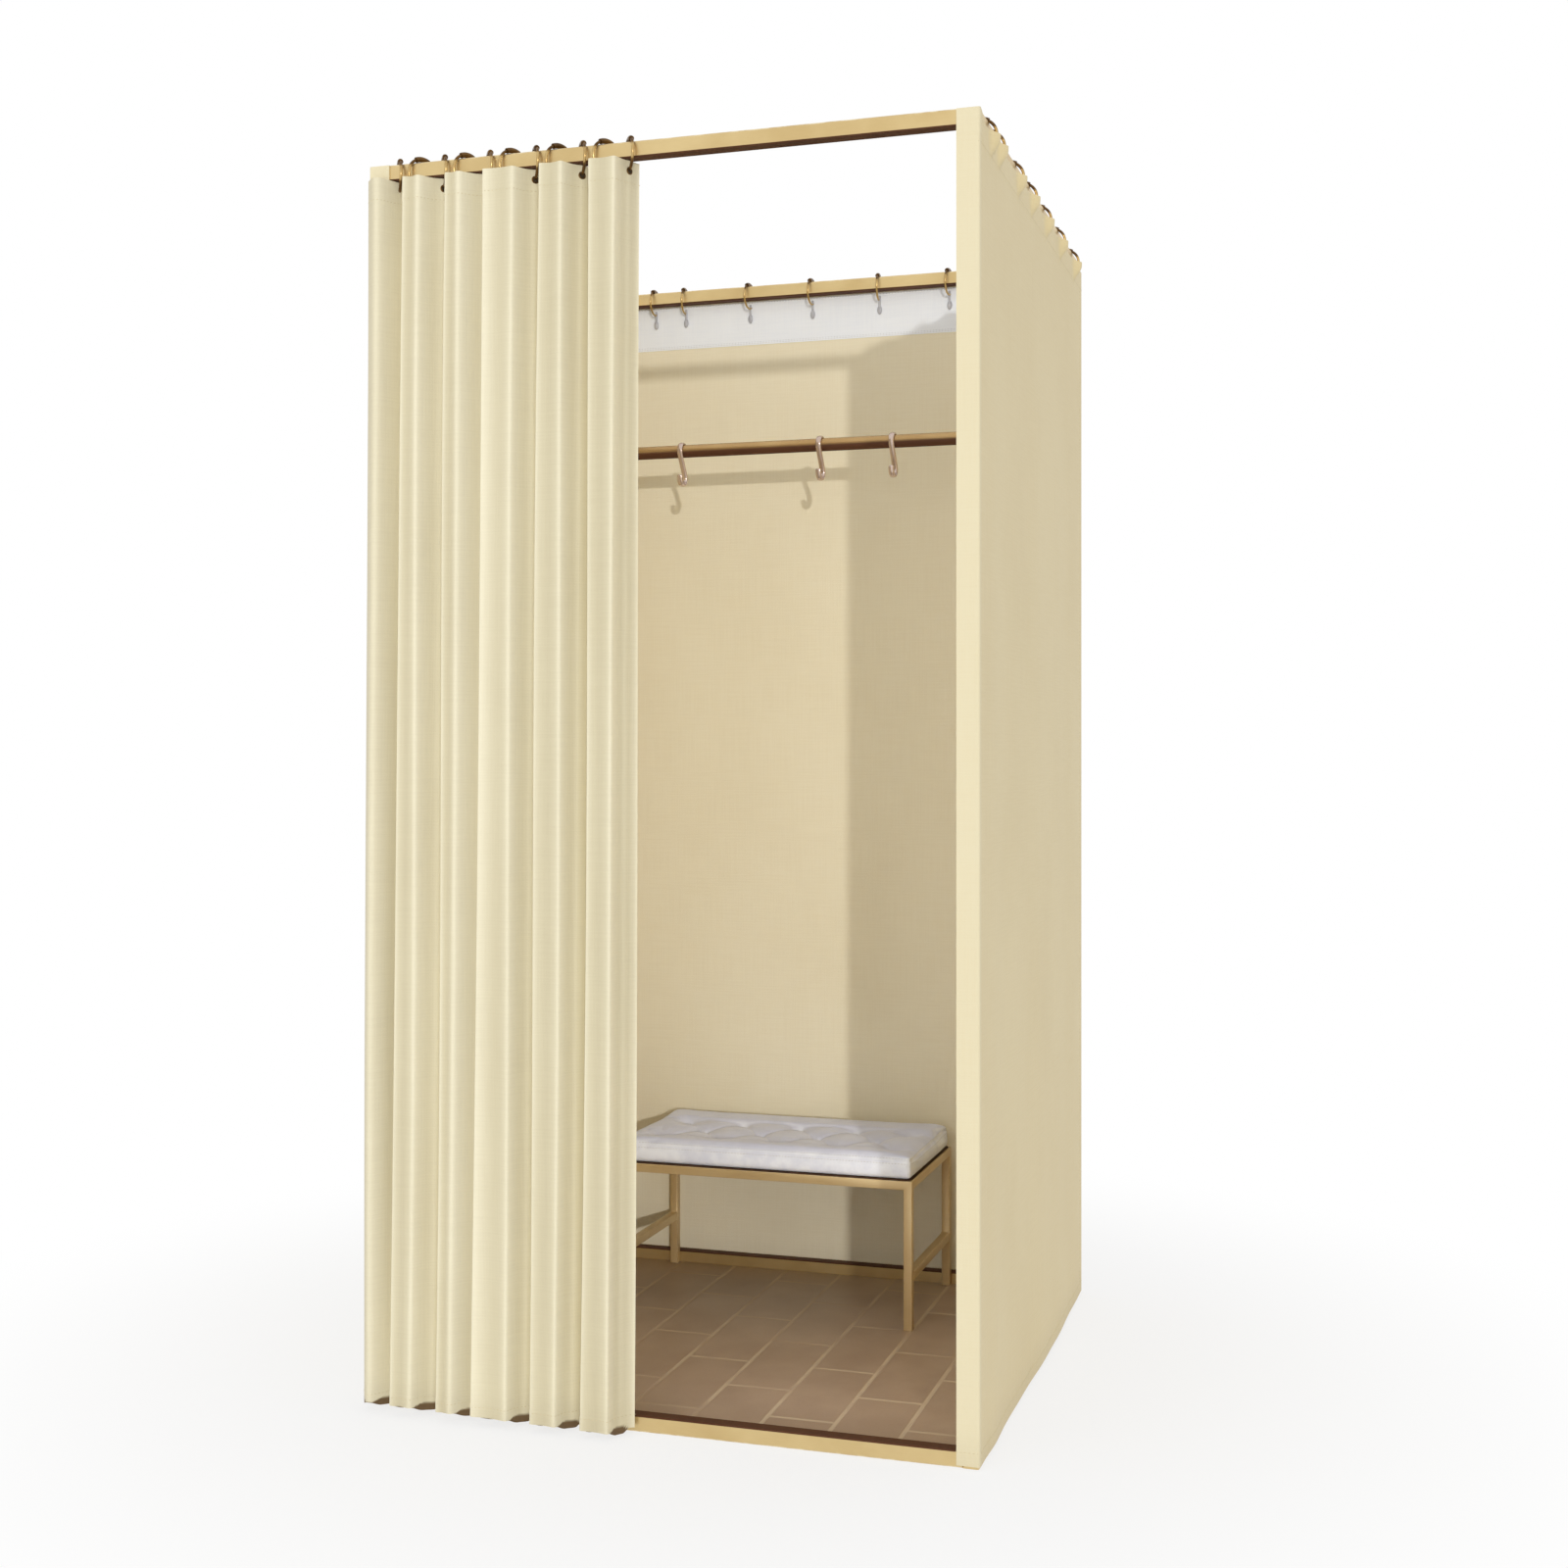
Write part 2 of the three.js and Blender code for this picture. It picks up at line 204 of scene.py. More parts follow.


# %% [markdown]
# ### Satin gold tube
#
# The tube is steel with a satin pale gold finish. A fine grain breaks the reflections, a
# broad cloudiness keeps long tubes from looking like plastic, and the paint is a little
# brighter where hands and boxes have worn the corners. On a square tube a corner is
# simply where the surface faces none of the main directions. The rails carry painted
# shade, a dark bronze, on the side that faces the opening, and the bar carries painted
# shade underneath. Such a paint is told which way its painted shade faces, up or down.


# %% Metal paints
def metal_paint(name, colour, cloudy, worn, roughness, metal=0.8, square=True, painted_shade_side=0, edge=(0.5, 0.7)):
    """The dark side is painted shade: 1 puts it on the top, -1 underneath, and 0 leaves it out."""
    paint = Paint(name)
    spot, normal = paint.place["Object"], paint.place["Normal"]
    cloud = paint.noise(spot, 9.0, 3.0)
    fine = paint.noise(spot, 1400.0, 1.0)
    streak = paint.noise(paint.stretch(spot, (60.0, 60.0, 900.0)), 1.0, 1.0)
    sizes = paint.node("ShaderNodeVectorMath", {"operation": "ABSOLUTE"}, {0: normal}).outputs[0]
    x, y, z = paint.split(sizes)
    corner = (1.0 - x.most(y).most(z)).ramp(0.04, 0.2) if square else cloud.ramp(0.62, 0.8)
    rub = corner * paint.noise(spot, 55.0, 3.0).ramp(0.42, 0.66)
    base = paint.mixed(cloud.ramp(0.3, 0.7) * 0.6 + streak * 0.2, shade(*colour), shade(*cloudy))
    gold = paint.mixed(rub * 0.7, base, shade(*worn))
    rough = roughness + cloud * 0.12 - rub * 0.1
    grain = paint.bumped(fine + streak * 0.5, 0.00006)
    if not painted_shade_side:
        return paint.finish(Base_Color=gold, Metallic=metal, Roughness=rough, Normal=grain)
    # painted shade: dark bronze where the surface faces the given way
    share = (paint.split(normal)[2] * painted_shade_side).ramp(*edge)
    bronze = paint.mixed(cloud, shade(92, 50, 18), shade(68, 34, 10))
    return paint.finish(
        Base_Color=paint.mixed(share, gold, bronze), Metallic=(1.0 - share) * metal,
        Roughness=rough + share * 0.4, Normal=grain,
    )


gold_tones = (222, 198, 145), (200, 172, 118), (246, 232, 196)
bar_tones = (196, 164, 112), (172, 134, 84), (236, 214, 170)
bench_tones = (214, 188, 140), (196, 166, 118), (244, 228, 192)
hook_tones = (222, 204, 194), (186, 162, 148), (244, 236, 230)
frame_gold = metal_paint("frame_gold", *gold_tones, 0.3)
# The rails and the bar below have painted shade on one side.
top_rail_gold = metal_paint("top_rail_gold", *gold_tones, 0.3, painted_shade_side=-1)
bottom_rail_gold = metal_paint("bottom_rail_gold", *gold_tones, 0.3, painted_shade_side=1)
bar_gold = metal_paint("bar_gold", *bar_tones, 0.2, 0.7, square=False, painted_shade_side=-1, edge=(-0.25, 0.3))
bench_gold = metal_paint("bench_gold", *bench_tones, 0.28, 0.35)
hook_metal = metal_paint("hook_metal", *hook_tones, 0.16, 0.7, square=False)


# %% Ring paint
def ring_paint(name, reflection_from, reflection_to=1.9965):
    """Dark bronze wire with a painted reflection of the gold rail, between two heights."""
    paint = Paint(name)
    spot = paint.place["Object"]
    height = paint.split(spot)[2]
    cloud = paint.noise(spot, 70.0, 3.0)
    # painted reflection: gold where the wire lies against the rail, between two heights
    above = height.ramp(reflection_from - 0.002, reflection_from + 0.002)
    painted_rail_reflection = above * (1.0 - height.ramp(reflection_to - 0.003, reflection_to + 0.002))
    bronze = paint.mixed(cloud.ramp(0.3, 0.7), shade(118, 86, 42), shade(84, 58, 26))
    gold = paint.mixed(cloud.ramp(0.3, 0.7), shade(212, 184, 126), shade(186, 154, 98))
    return paint.finish(
        Base_Color=paint.mixed(painted_rail_reflection * (cloud * 0.3 + 0.75), bronze, gold), Metallic=0.7,
        Roughness=0.34 - painted_rail_reflection * 0.08, Normal=paint.bumped(cloud, 0.0001),
    )


# Both ring paints carry the painted reflection band, the second over a wider band.
ring_bronze = ring_paint("ring_bronze", 1.972)
ring_worn = ring_paint("ring_worn", 1.940, 1.993)
print("metals:", len(bpy.data.materials))

# %% [markdown]
# ### Curtain cloth
#
# The curtains are a plain-woven polyester in warm cream. The weave is two crossed waves
# on the flat cloth's own coordinates, so it follows every fold. Slubs, which are thicker
# stretches of yarn, run along the threads, and a broad unevenness and a trace of dust at
# the hem keep the large panels alive.


# %% Cloth paints
def cloth_paint(name, colour, deep, weave=0.0021, height=0.0003, dust=0.12, sheen=0.25, painted_highlight=None):
    """The pale colour is a painted highlight on ridges marked 1, and a mark of -1 paints a dark brown
    shadow.
    """
    paint = Paint(name)
    flat = paint.place["UV"]
    along, up, _ = paint.split(flat)
    turn = 2 * math.pi / weave
    threads = (along * turn).sine() * (up * turn).sine()
    upright = paint.noise(paint.stretch(flat, (420.0, 9.0, 1.0)), 1.0, 2.0)
    level = paint.noise(paint.stretch(flat, (12.0, 380.0, 1.0)), 1.0, 2.0)
    broad = paint.noise(paint.stretch(flat, (1.0, 0.6, 1.0)), 4.0, 4.0)
    uneven = broad.ramp(0.3, 0.75) * 0.45 + (upright + level).ramp(0.8, 1.25) * 0.35
    # dust: darker towards the hem of the flat cloth
    hem_dust_and_painted_shadow = (1.0 - up.ramp(0.0, 0.07)) * dust
    base = paint.mixed(uneven, shade(*colour), shade(*deep))
    # painted highlight where the mark is above zero, painted shadow in dark brown below zero
    if painted_highlight:
        painted_light = paint.num("ShaderNodeAttribute", "Fac", {"attribute_name": "painted_light"})
        base = paint.mixed(painted_light * (1.0 - uneven * 0.3), base, shade(*painted_highlight))
        base = paint.mixed(painted_light * -1.0, base, shade(104, 80, 50))
    return paint.finish(
        Base_Color=paint.mixed(hem_dust_and_painted_shadow, base, shade(150, 134, 108)),
        Roughness=0.86 + broad * 0.1,
        Sheen_Weight=sheen,
        Sheen_Roughness=0.45,
        Normal=paint.bumped(threads * 0.35 + upright * 0.7 + level * 0.7, height),
    )


# door_cloth is a darker copy of the cream cloth, as painted shade, and the pale colours paint highlights: on
# the doorway ridges and on the side returns.
door_cloth = cloth_paint("door_cloth", (222, 213, 182), (214, 204, 172), painted_highlight=(251, 244, 217))
wall_cloth = cloth_paint("wall_cloth", (239, 223, 179), (231, 213, 166), painted_highlight=(240, 230, 197))
inner_cloth = cloth_paint("inner_cloth", (240, 231, 206), (233, 222, 194))
tape_white = cloth_paint("tape_white", (247, 250, 255), (237, 241, 250), weave=0.0016, dust=0.0, sheen=0.1)


# %% Thread, moulded hooks and painted shade
def plain_paint(name, colour, other, roughness, scale, height):
    """Two close tones in a fine grain. height is how deep the grain goes, in metres."""
    paint = Paint(name)
    grain = paint.noise(paint.place["Object"], scale, 2.0)
    base = paint.mixed(grain.ramp(0.3, 0.7), shade(*colour), shade(*other))
    return paint.finish(Base_Color=base, Roughness=roughness, Normal=paint.bumped(grain, height))


cream_thread = plain_paint("cream_thread", (226, 213, 176), (206, 190, 150), 0.8, 900.0, 0.00015)
white_thread = plain_paint("white_thread", (214, 214, 218), (190, 190, 196), 0.8, 900.0, 0.00015)
grey_thread = plain_paint("grey_thread", (206, 203, 200), (176, 172, 170), 0.8, 900.0, 0.00015)
hook_resin = plain_paint("hook_resin", (190, 190, 196), (166, 166, 174), 0.35, 120.0, 0.0001)
# The seat board's dark colour and the eyelet plugs' dark colour are painted shade.
board_dark = plain_paint("board_dark", (78, 50, 32), (56, 36, 24), 0.95, 60.0, 0.0002)
eyelet_dark = plain_paint("eyelet_dark", (70, 56, 36), (44, 34, 22), 0.9, 300.0, 0.0002)
print("all paints so far:", len(bpy.data.materials))

# %% [markdown]
# ## Light, floor and background
#
# The booth stands in plain studio light. An even pale sky gives the soft part. One low
# lamp from the front and right shines through the doorway, and its edge falls on the rear
# curtain, as in the picture. A large soft panel at the front and left models the folds,
# because their right sides turn away from it. A second panel fills the doorway, so that
# the inside is nearly as bright as the outside. The camera sees a white background, and
# the floor fades to that white, while near the booth it keeps the shadow.

# %% Sky and lamps
world = bpy.data.worlds.new("sky")
scene.world = world
world.use_nodes = True
world.node_tree.nodes.clear()
sky = Graph(world.node_tree)


def seen_directly(graph):
    """1 for rays from the camera, and for what metal and glass show."""
    path = graph.node("ShaderNodeLightPath").outputs
    rays = [Num(graph, path[name]) for name in ("Is Camera Ray", "Is Glossy Ray", "Is Transmission Ray")]
    return rays[0].most(rays[1]).most(rays[2])


soft = sky.node("ShaderNodeBackground", None, {"Color": (1.0, 0.985, 0.96, 1.0), "Strength": 0.64})
white = sky.node("ShaderNodeBackground", None, {"Color": (1.0, 1.0, 1.0, 1.0), "Strength": 1.0})
both_skies = {0: seen_directly(sky), 1: soft.outputs[0], 2: white.outputs[0]}
sky_mix = sky.node("ShaderNodeMixShader", None, both_skies)
sky.node("ShaderNodeOutputWorld", None, {0: sky_mix.outputs[0]})

lamp = bpy.data.objects.new("low_lamp", bpy.data.lights.new("low_lamp", "SUN"))
scene.collection.objects.link(lamp)
lamp.data.energy = 0.85
lamp.data.angle = math.radians(1.2)
lamp.data.color = (1.0, 0.985, 0.95)
toward = Vector((math.sin(math.radians(24)), -math.cos(math.radians(24)), math.tan(math.radians(8))))
lamp.rotation_euler = toward.to_track_quat("Z", "Y").to_euler()


def soft_panel(name, place, target, width, height, radiance, colour=(1.0, 1.0, 1.0)):
    """An even rectangle of light that only falls on things and isn't seen itself."""
    panel = bpy.data.objects.new(name, bpy.data.lights.new(name, "AREA"))
    scene.collection.objects.link(panel)
    panel.data.shape = "RECTANGLE"
    panel.data.size, panel.data.size_y = width, height
    panel.data.energy = radiance * math.pi * width * height
    panel.data.color = colour
    panel.location = place
    panel.rotation_euler = (Vector(place) - Vector(target)).to_track_quat("Z", "Y").to_euler()
    panel.visible_camera = panel.visible_glossy = False
    return panel


soft_panel("fold_panel", (-2.3, -4.6, 1.6), (0.0, -0.5, 1.0), 3.2, 3.2, 1.35)
soft_panel("doorway_panel", (0.21, -0.43, 1.0), (0.21, 0.4, 1.0), 0.48, 1.84, 1.0, (0.92, 0.96, 1.0))
print("lamp from", [round(v, 2) for v in toward])

# %% Floor
reach, below = 14.0, -0.0004
corners = [(x * reach, y * reach, below) for x, y in ((-1, -1), (1, -1), (1, 1), (-1, 1))]
floor_mesh = bpy.data.meshes.new("floor")
floor_mesh.from_pydata(corners, [], [(0, 1, 2, 3)])
floor = bpy.data.objects.new("floor", floor_mesh)
scene.collection.objects.link(floor)
ground = Paint("studio_floor")
spot = ground.place["Object"]
distance = ground.num("ShaderNodeVectorMath", "Value", {"operation": "LENGTH"}, {0: spot})
matt = ground.node("ShaderNodeBsdfDiffuse", None, {"Color": (0.88, 0.88, 0.88, 1.0)})
glow = ground.node("ShaderNodeEmission", None, {"Color": (1.0, 1.0, 1.0, 1.0), "Strength": 1.0})
fade = seen_directly(ground) * (distance.ramp(0.55, 1.7) * 0.24 + 0.76)
blend = ground.node("ShaderNodeMixShader", None, {0: fade, 1: matt.outputs[0], 2: glow.outputs[0]})
ground.node("ShaderNodeOutputMaterial", None, {0: blend.outputs[0]})
floor_mesh.materials.append(ground.material)
print("floor", 2 * reach, "m wide")

# %% [markdown]
# ## The frame keeps its measured shape
#
# Posts and rails are plain square tube, and the solids already have that shape. They only
# get their finish. The same is true of the two arms that carry the bar.

# %% Gold on the solids
frame_paints = {
    "post_": frame_gold, "top_rail_": top_rail_gold, "bottom_rail_": bottom_rail_gold, "bar_arm_": bar_gold,
}
for start, paint in frame_paints.items():
    tubes = [node for name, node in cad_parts.items() if name.startswith(start)]
    for tube in tubes:
        for place in tube.material_slots:
            place.material = paint
    print(start, len(tubes), "tubes in", paint.name)

# %% [markdown]
# ## From arrays to meshes
#
# Most pieces below are arrays of points first. These helpers turn a mesh into an object,
# take the plain mesh from an object with modifiers, and turn a closed mesh right side out.
# Two soft curves, a step and a bell, shape nearly all of the cloth.


# %% Mesh helpers
def new_object(name, mesh, *materials):
    piece = bpy.data.objects.new(name, mesh)
    scene.collection.objects.link(piece)
    for material in materials:
        mesh.materials.append(material)
    return piece


def plain_mesh(piece):
    """A new mesh of what an object shows with its modifiers."""
    return bpy.data.meshes.new_from_object(piece.evaluated_get(bpy.context.evaluated_depsgraph_get()))


def smooth(mesh, angle=40):
    mesh.shade_smooth()
    mesh.set_sharp_from_angle(angle=math.radians(angle))


def face_out(mesh):
    """Turns a closed mesh right side out."""
    work = bmesh.new()
    work.from_mesh(mesh)
    if work.calc_volume(signed=True) < 0:
        bmesh.ops.reverse_faces(work, faces=work.faces)
    work.to_mesh(mesh)
    work.free()


def middle_of(node):
    low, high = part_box(node)
    return (low + high) / 2


# %% Soft curves
def soft_step(value):
    value = np.clip(value, 0.0, 1.0)
    return value * value * (3 - 2 * value)


def bell(gap, width):
    """1 where the gap is zero, and nearly 0 from twice the width on."""
    return np.exp(-((gap / width) ** 2))


def near_any(values, centres, width):
    """One bell at each centre, added up."""
    return sum(bell(values - centre, width) for centre in centres)


# %% [markdown]
# A curtain is a sheet with a middle surface. cloth_shell takes that surface as a grid of
# points, moves it half the thickness to each side and closes the four edges. The flat
# cloth's own width and height become the UV map, in metres, so that the weave has one
# scale everywhere. A hem is where the cloth is folded double, and there it is thicker.


# %% Cloth helpers
def normals_of(points):
    """Unit normals of a grid of points, rows by columns."""
    down, along = np.gradient(points, axis=0), np.gradient(points, axis=1)
    cross = np.cross(along, down)
    return cross / np.linalg.norm(cross, axis=2, keepdims=True)


def cloth_shell(name, points, normals, half, flat, material, painted_light=None):
    """A closed sheet round a grid of middle points. flat holds each point's place on the
    cloth, half is half the thickness, and the last argument is a mark of painted light,
    1 for the palest highlight and below zero for painted shadow."""
    rows, columns = points.shape[:2]
    count = rows * columns
    out = normals * np.broadcast_to(half, (rows, columns))[..., None]
    verts = np.concatenate([(points + out).reshape(-1, 3), (points - out).reshape(-1, 3)])
    grid = np.arange(count).reshape(rows, columns)
    front = np.stack([grid[:-1, :-1], grid[:-1, 1:], grid[1:, 1:], grid[1:, :-1]], axis=-1).reshape(-1, 4)
    rim = np.concatenate([grid[0, ::-1], grid[1:, 0], grid[-1, 1:], grid[-2:0:-1, -1]])
    after = np.roll(rim, -1)
    edges = np.stack([rim, after, after + count, rim + count], axis=-1)
    mesh = bpy.data.meshes.new(name)
    mesh.from_pydata(verts.tolist(), [], np.concatenate([front, front[:, ::-1] + count, edges]).tolist())
    places = np.concatenate([flat.reshape(-1, 2)] * 2)
    layer = mesh.uv_layers.new(name="flat_cloth")
    corners = np.zeros(len(mesh.loops), np.int32)
    mesh.loops.foreach_get("vertex_index", corners)
    layer.data.foreach_set("uv", places[corners].astype(np.float32).ravel())
    if painted_light is not None:
        mark = mesh.attributes.new("painted_light", "FLOAT", "POINT")
        mark.data.foreach_set("value", np.concatenate([painted_light.ravel()] * 2).astype(np.float32))
    face_out(mesh)
    smooth(mesh)
    return new_object(name, mesh, material)


# %% Hems and flat sizes
HALF_CLOTH = 0.0008
HALF_FOLD = 0.00045


def hem_half(from_edge, width):
    """Half the thickness of cloth near a hem of that width, from the distance to the edge."""
    return HALF_CLOTH + HALF_FOLD * soft_step((width - from_edge) / 0.002)


def which_side(normal, direction):
    """1 where a normal points in that direction, and -1 where it points the other way."""
    return 1.0 if np.dot(normal, direction) > 0 else -1.0


def flat_size(name, points):
    """How wide and high a draped sheet is when it lies flat, in metres."""
    wide = np.linalg.norm(np.diff(points, axis=1), axis=2).sum(axis=1).mean()
    high = np.linalg.norm(np.diff(points, axis=0), axis=2).sum(axis=0).mean()
    print(name, "flat size", round(float(wide), 3), "x", round(float(high), 3), "m")
    return float(wide), float(high)


# %% [markdown]
# ## Geometry Nodes for what repeats
#
# Rings, eyelets, stitches and buttons repeat, so each is one small node tree that puts a
# shape on points or along a path. The tree ends in Realize Instances and Set Material,
# and the result is turned into a plain mesh, which then rides on a body as any piece does.


# %% Trees and their inputs
def new_tree(name, **sizes):
    """A geometry tree with named inputs for its sizes."""
    tree = bpy.data.node_groups.new(name, "GeometryNodeTree")
    tree.interface.new_socket("Geometry", in_out="INPUT", socket_type="NodeSocketGeometry")
    for title, value in sizes.items():
        socket = tree.interface.new_socket(title, in_out="INPUT", socket_type="NodeSocketFloat")
        socket.default_value = value
    tree.interface.new_socket("Geometry", in_out="OUTPUT", socket_type="NodeSocketGeometry")
    graph = Graph(tree)
    graph.given = graph.node("NodeGroupInput").outputs
    return graph


def end_tree(graph, geometry, material):
    real = graph.node("GeometryNodeRealizeInstances", None, {0: geometry}).outputs[0]
    inputs = {"Geometry": real, "Material": material}
    graph.node("NodeGroupOutput", None, {0: graph.node("GeometryNodeSetMaterial", None, inputs).outputs[0]})
    return graph.tree


def run_tree(name, tree, verts, edges=(), turns=None, **sizes):
    """Puts a tree on points or a path, and returns the result as a plain mesh object."""
    base = bpy.data.meshes.new(name + "_places")
    base.from_pydata([tuple(v) for v in verts], list(edges), [])
    if turns is not None:
        turn = base.attributes.new("turn", "FLOAT_VECTOR", "POINT")
        turn.data.foreach_set("vector", np.array(turns, np.float32).ravel())
    carrier = new_object(name + "_places", base)
    modifier = carrier.modifiers.new("places", "NODES")
    modifier.node_group = tree
    for item in tree.interface.items_tree:
        if item.in_out == "INPUT" and item.name in sizes:
            modifier[item.identifier] = float(sizes[item.name])
    mesh = plain_mesh(carrier)
    mesh.name = name
    carrier.modifiers.clear()
    bpy.data.objects.remove(carrier)
    smooth(mesh, 50)
    return new_object(name, mesh)


# %% Shapes inside a tree
def on_points(graph, shape, turned=True):
    inputs = {"Points": graph.given["Geometry"], "Instance": shape}
    if turned:
        turn = graph.node("GeometryNodeInputNamedAttribute", {"data_type": "FLOAT_VECTOR"}, {"Name": "turn"})
        inputs["Rotation"] = graph.node("FunctionNodeEulerToRotation", None, {0: turn.outputs[0]}).outputs[0]
    return graph.node("GeometryNodeInstanceOnPoints", None, inputs).outputs[0]


def swept(graph, line, radius, sides=14, caps=False):
    """A wire of that radius along a curve."""
    section = graph.node("GeometryNodeCurvePrimitiveCircle", None, {"Resolution": sides, "Radius": radius})
    inputs = {0: line, 1: section.outputs[0], "Fill Caps": caps}
    return graph.node("GeometryNodeCurveToMesh", None, inputs).outputs[0]


def hoop(graph, radius, wire, steps=72, sides=14):
    """A round wire hoop in the XY plane."""
    line = graph.node("GeometryNodeCurvePrimitiveCircle", None, {"Resolution": steps, "Radius": radius})
    return swept(graph, line.outputs[0], wire, sides)


def together(graph, *shapes):
    """Several shapes as one geometry."""
    both = graph.node("GeometryNodeJoinGeometry")
    for shape in shapes:
        graph.tree.links.new(shape, both.inputs[0])
    return both.outputs[0]


# %% [markdown]
# ### Stitches
#
# A row of stitches is a path with a short rounded thread at every step. Half of each
# thread is sunk in the cloth, so that it looks pulled tight.


# %% The stitch tree
def stitch_tree(name, material):
    """A ball at every step of a path, drawn out along it into a short thread."""
    graph = new_tree(name, Spacing=0.006, Length=0.0042, Thread=0.0005)
    line = graph.node("GeometryNodeMeshToCurve", None, {0: graph.given["Geometry"]}).outputs[0]
    step_inputs = {"Curve": line, "Length": graph.given["Spacing"]}
    steps = graph.node("GeometryNodeResampleCurve", {"mode": "LENGTH"}, step_inputs).outputs[0]
    tangent = graph.node("GeometryNodeInputTangent").outputs[0]
    turn = graph.node("FunctionNodeAlignRotationToVector", {"axis": "X"}, {"Vector": tangent}).outputs[0]
    ball = graph.node("GeometryNodeMeshIcoSphere", None, {"Radius": 1.0, "Subdivisions": 1}).outputs[0]
    half, thread = Num(graph, graph.given["Length"]) * 0.5, graph.given["Thread"]
    size = graph.node("ShaderNodeCombineXYZ", None, {0: half, 1: thread, 2: thread}).outputs[0]
    inputs = {"Points": steps, "Instance": ball, "Rotation": turn, "Scale": size}
    threads = graph.node("GeometryNodeInstanceOnPoints", None, inputs).outputs[0]
    return end_tree(graph, threads, material)


cream_stitches = stitch_tree("cream_stitches", cream_thread)
white_stitches = stitch_tree("white_stitches", white_thread)
grey_stitches = stitch_tree("grey_stitches", grey_thread)
flat_stitch = {"Spacing": 0.0065, "Length": 0.0046, "Thread": 0.00042}
door_stitch = {"Spacing": 0.0062, "Length": 0.0044, "Thread": 0.00042}
tape_stitch = {"Spacing": 0.006, "Length": 0.0042, "Thread": 0.0004}
seat_stitch = {"Spacing": 0.0058, "Length": 0.004, "Thread": 0.0004}
print("stitch trees:", len(bpy.data.node_groups))


# %% Rows of stitches
def stitch_rows(name, tree, lines, **sizes):
    """Rows of stitches along several paths, each a list of points."""
    verts, edges = [], []
    for line in lines:
        start = len(verts)
        verts += [tuple(point) for point in line]
        edges += [(start + i, start + i + 1) for i in range(len(line) - 1)]
    return run_tree(name, tree, verts, edges, **sizes)


def row_at(points, normals, half, height, out=1.0):
    """A path on the cloth's surface at one height, for a row of stitches."""
    line = []
    for column in range(points.shape[1]):
        z = points[::-1, column, 2]
        spot = [np.interp(height, z, points[::-1, column, k]) for k in range(3)]
        normal = [np.interp(height, z, normals[::-1, column, k]) for k in range(3)]
        depth = np.interp(height, z, half[::-1, column])
        line.append(np.array(spot) + np.array(normal) * depth * out)
    return line


def column_at(points, normals, half, column, out=1.0, clear=4):
    """A path up the cloth's surface in one column, a few rows short of both hems."""
    surface = points[:, column] + normals[:, column] * half[:, column, None] * out
    return surface[clear:-clear]


# %% [markdown]
# ### Rings and eyelets
#
# The rings are round bronze wire, bent shut round the rail, with a thick dark glide on
# top. The rings of the doorway and rear curtains go through small metal eyelets in the
# cloth. The solids carry coarse rings in the right places, and smooth ones stand in.


# %% The ring tree
def curtain_ring(name, material):
    """A wire ring with a thick dark glide on its top, which slides along the rail."""
    graph = new_tree(name, Radius=0.0239, Wire=0.0024, Glide=0.0044)
    wire = hoop(graph, graph.given["Radius"], graph.given["Wire"])
    arc_inputs = {
        "Resolution": 14, "Radius": graph.given["Radius"],
        "Start Angle": math.radians(152), "Sweep Angle": math.radians(56),
    }
    arc = graph.node("GeometryNodeCurveArc", {"mode": "RADIUS"}, arc_inputs).outputs[0]
    glide = swept(graph, arc, graph.given["Glide"], caps=True)
    return end_tree(graph, on_points(graph, together(graph, wire, glide)), material)


ring_tree = curtain_ring("curtain_rings", ring_bronze)
wide_reflection_ring_tree = curtain_ring("rings_wide_painted_reflection", ring_worn)

# %% Trees for a rim and its hole
graph = new_tree("eyelets", Radius=0.0050, Wire=0.0013)
round_rim = hoop(graph, graph.given["Radius"], graph.given["Wire"], 36, 10)
flat_rim = graph.node("GeometryNodeTransform", None, {"Geometry": round_rim, "Scale": (1.0, 1.0, 0.62)})
eyelet_tree = end_tree(graph, on_points(graph, flat_rim.outputs[0]), ring_bronze)

# The dark plug in each hole is painted shade.
graph = new_tree("eyelet_holes", Radius=0.0042, Depth=0.0020)
plug_inputs = {"Vertices": 24, "Radius": graph.given["Radius"], "Depth": graph.given["Depth"]}
plug = graph.node("GeometryNodeMeshCylinder", None, plug_inputs).outputs[0]
hole_tree = end_tree(graph, on_points(graph, plug), eyelet_dark)


# %% Eyelets
def joined(name, *pieces):
    """Several mesh objects as one, with their materials."""
    work, materials = bmesh.new(), []
    for piece in pieces:
        before = len(work.faces)
        work.from_mesh(piece.data)
        work.faces.ensure_lookup_table()
        here = [slot.material for slot in piece.material_slots]
        for face in work.faces[before:]:
            material = here[face.material_index]
            if material not in materials:
                materials.append(material)
            face.material_index = materials.index(material)
    mesh = bpy.data.meshes.new(name)
    work.to_mesh(mesh)
    work.free()
    for piece in pieces:
        bpy.data.objects.remove(piece)
    smooth(mesh, 50)
    return new_object(name, mesh, *materials)


def eyelets(name, places, directions):
    """A rim and a dark plug, painted shade in its hole, at each place, with their own Z along the
    directions.
    """
    turns = [tuple(Vector(direction).to_track_quat("Z", "Y").to_euler()) for direction in directions]
    rims = run_tree(name + "_rims", eyelet_tree, places, turns=turns)
    holes = run_tree(name + "_holes", hole_tree, places, turns=turns)
    return joined(name, rims, holes)


# %% [markdown]
# Behind each ring of the flat curtains a small moulded hook is pinned to the cloth. It is
# a short wire with a bead at its foot, swept by the same kind of tree as the rings.

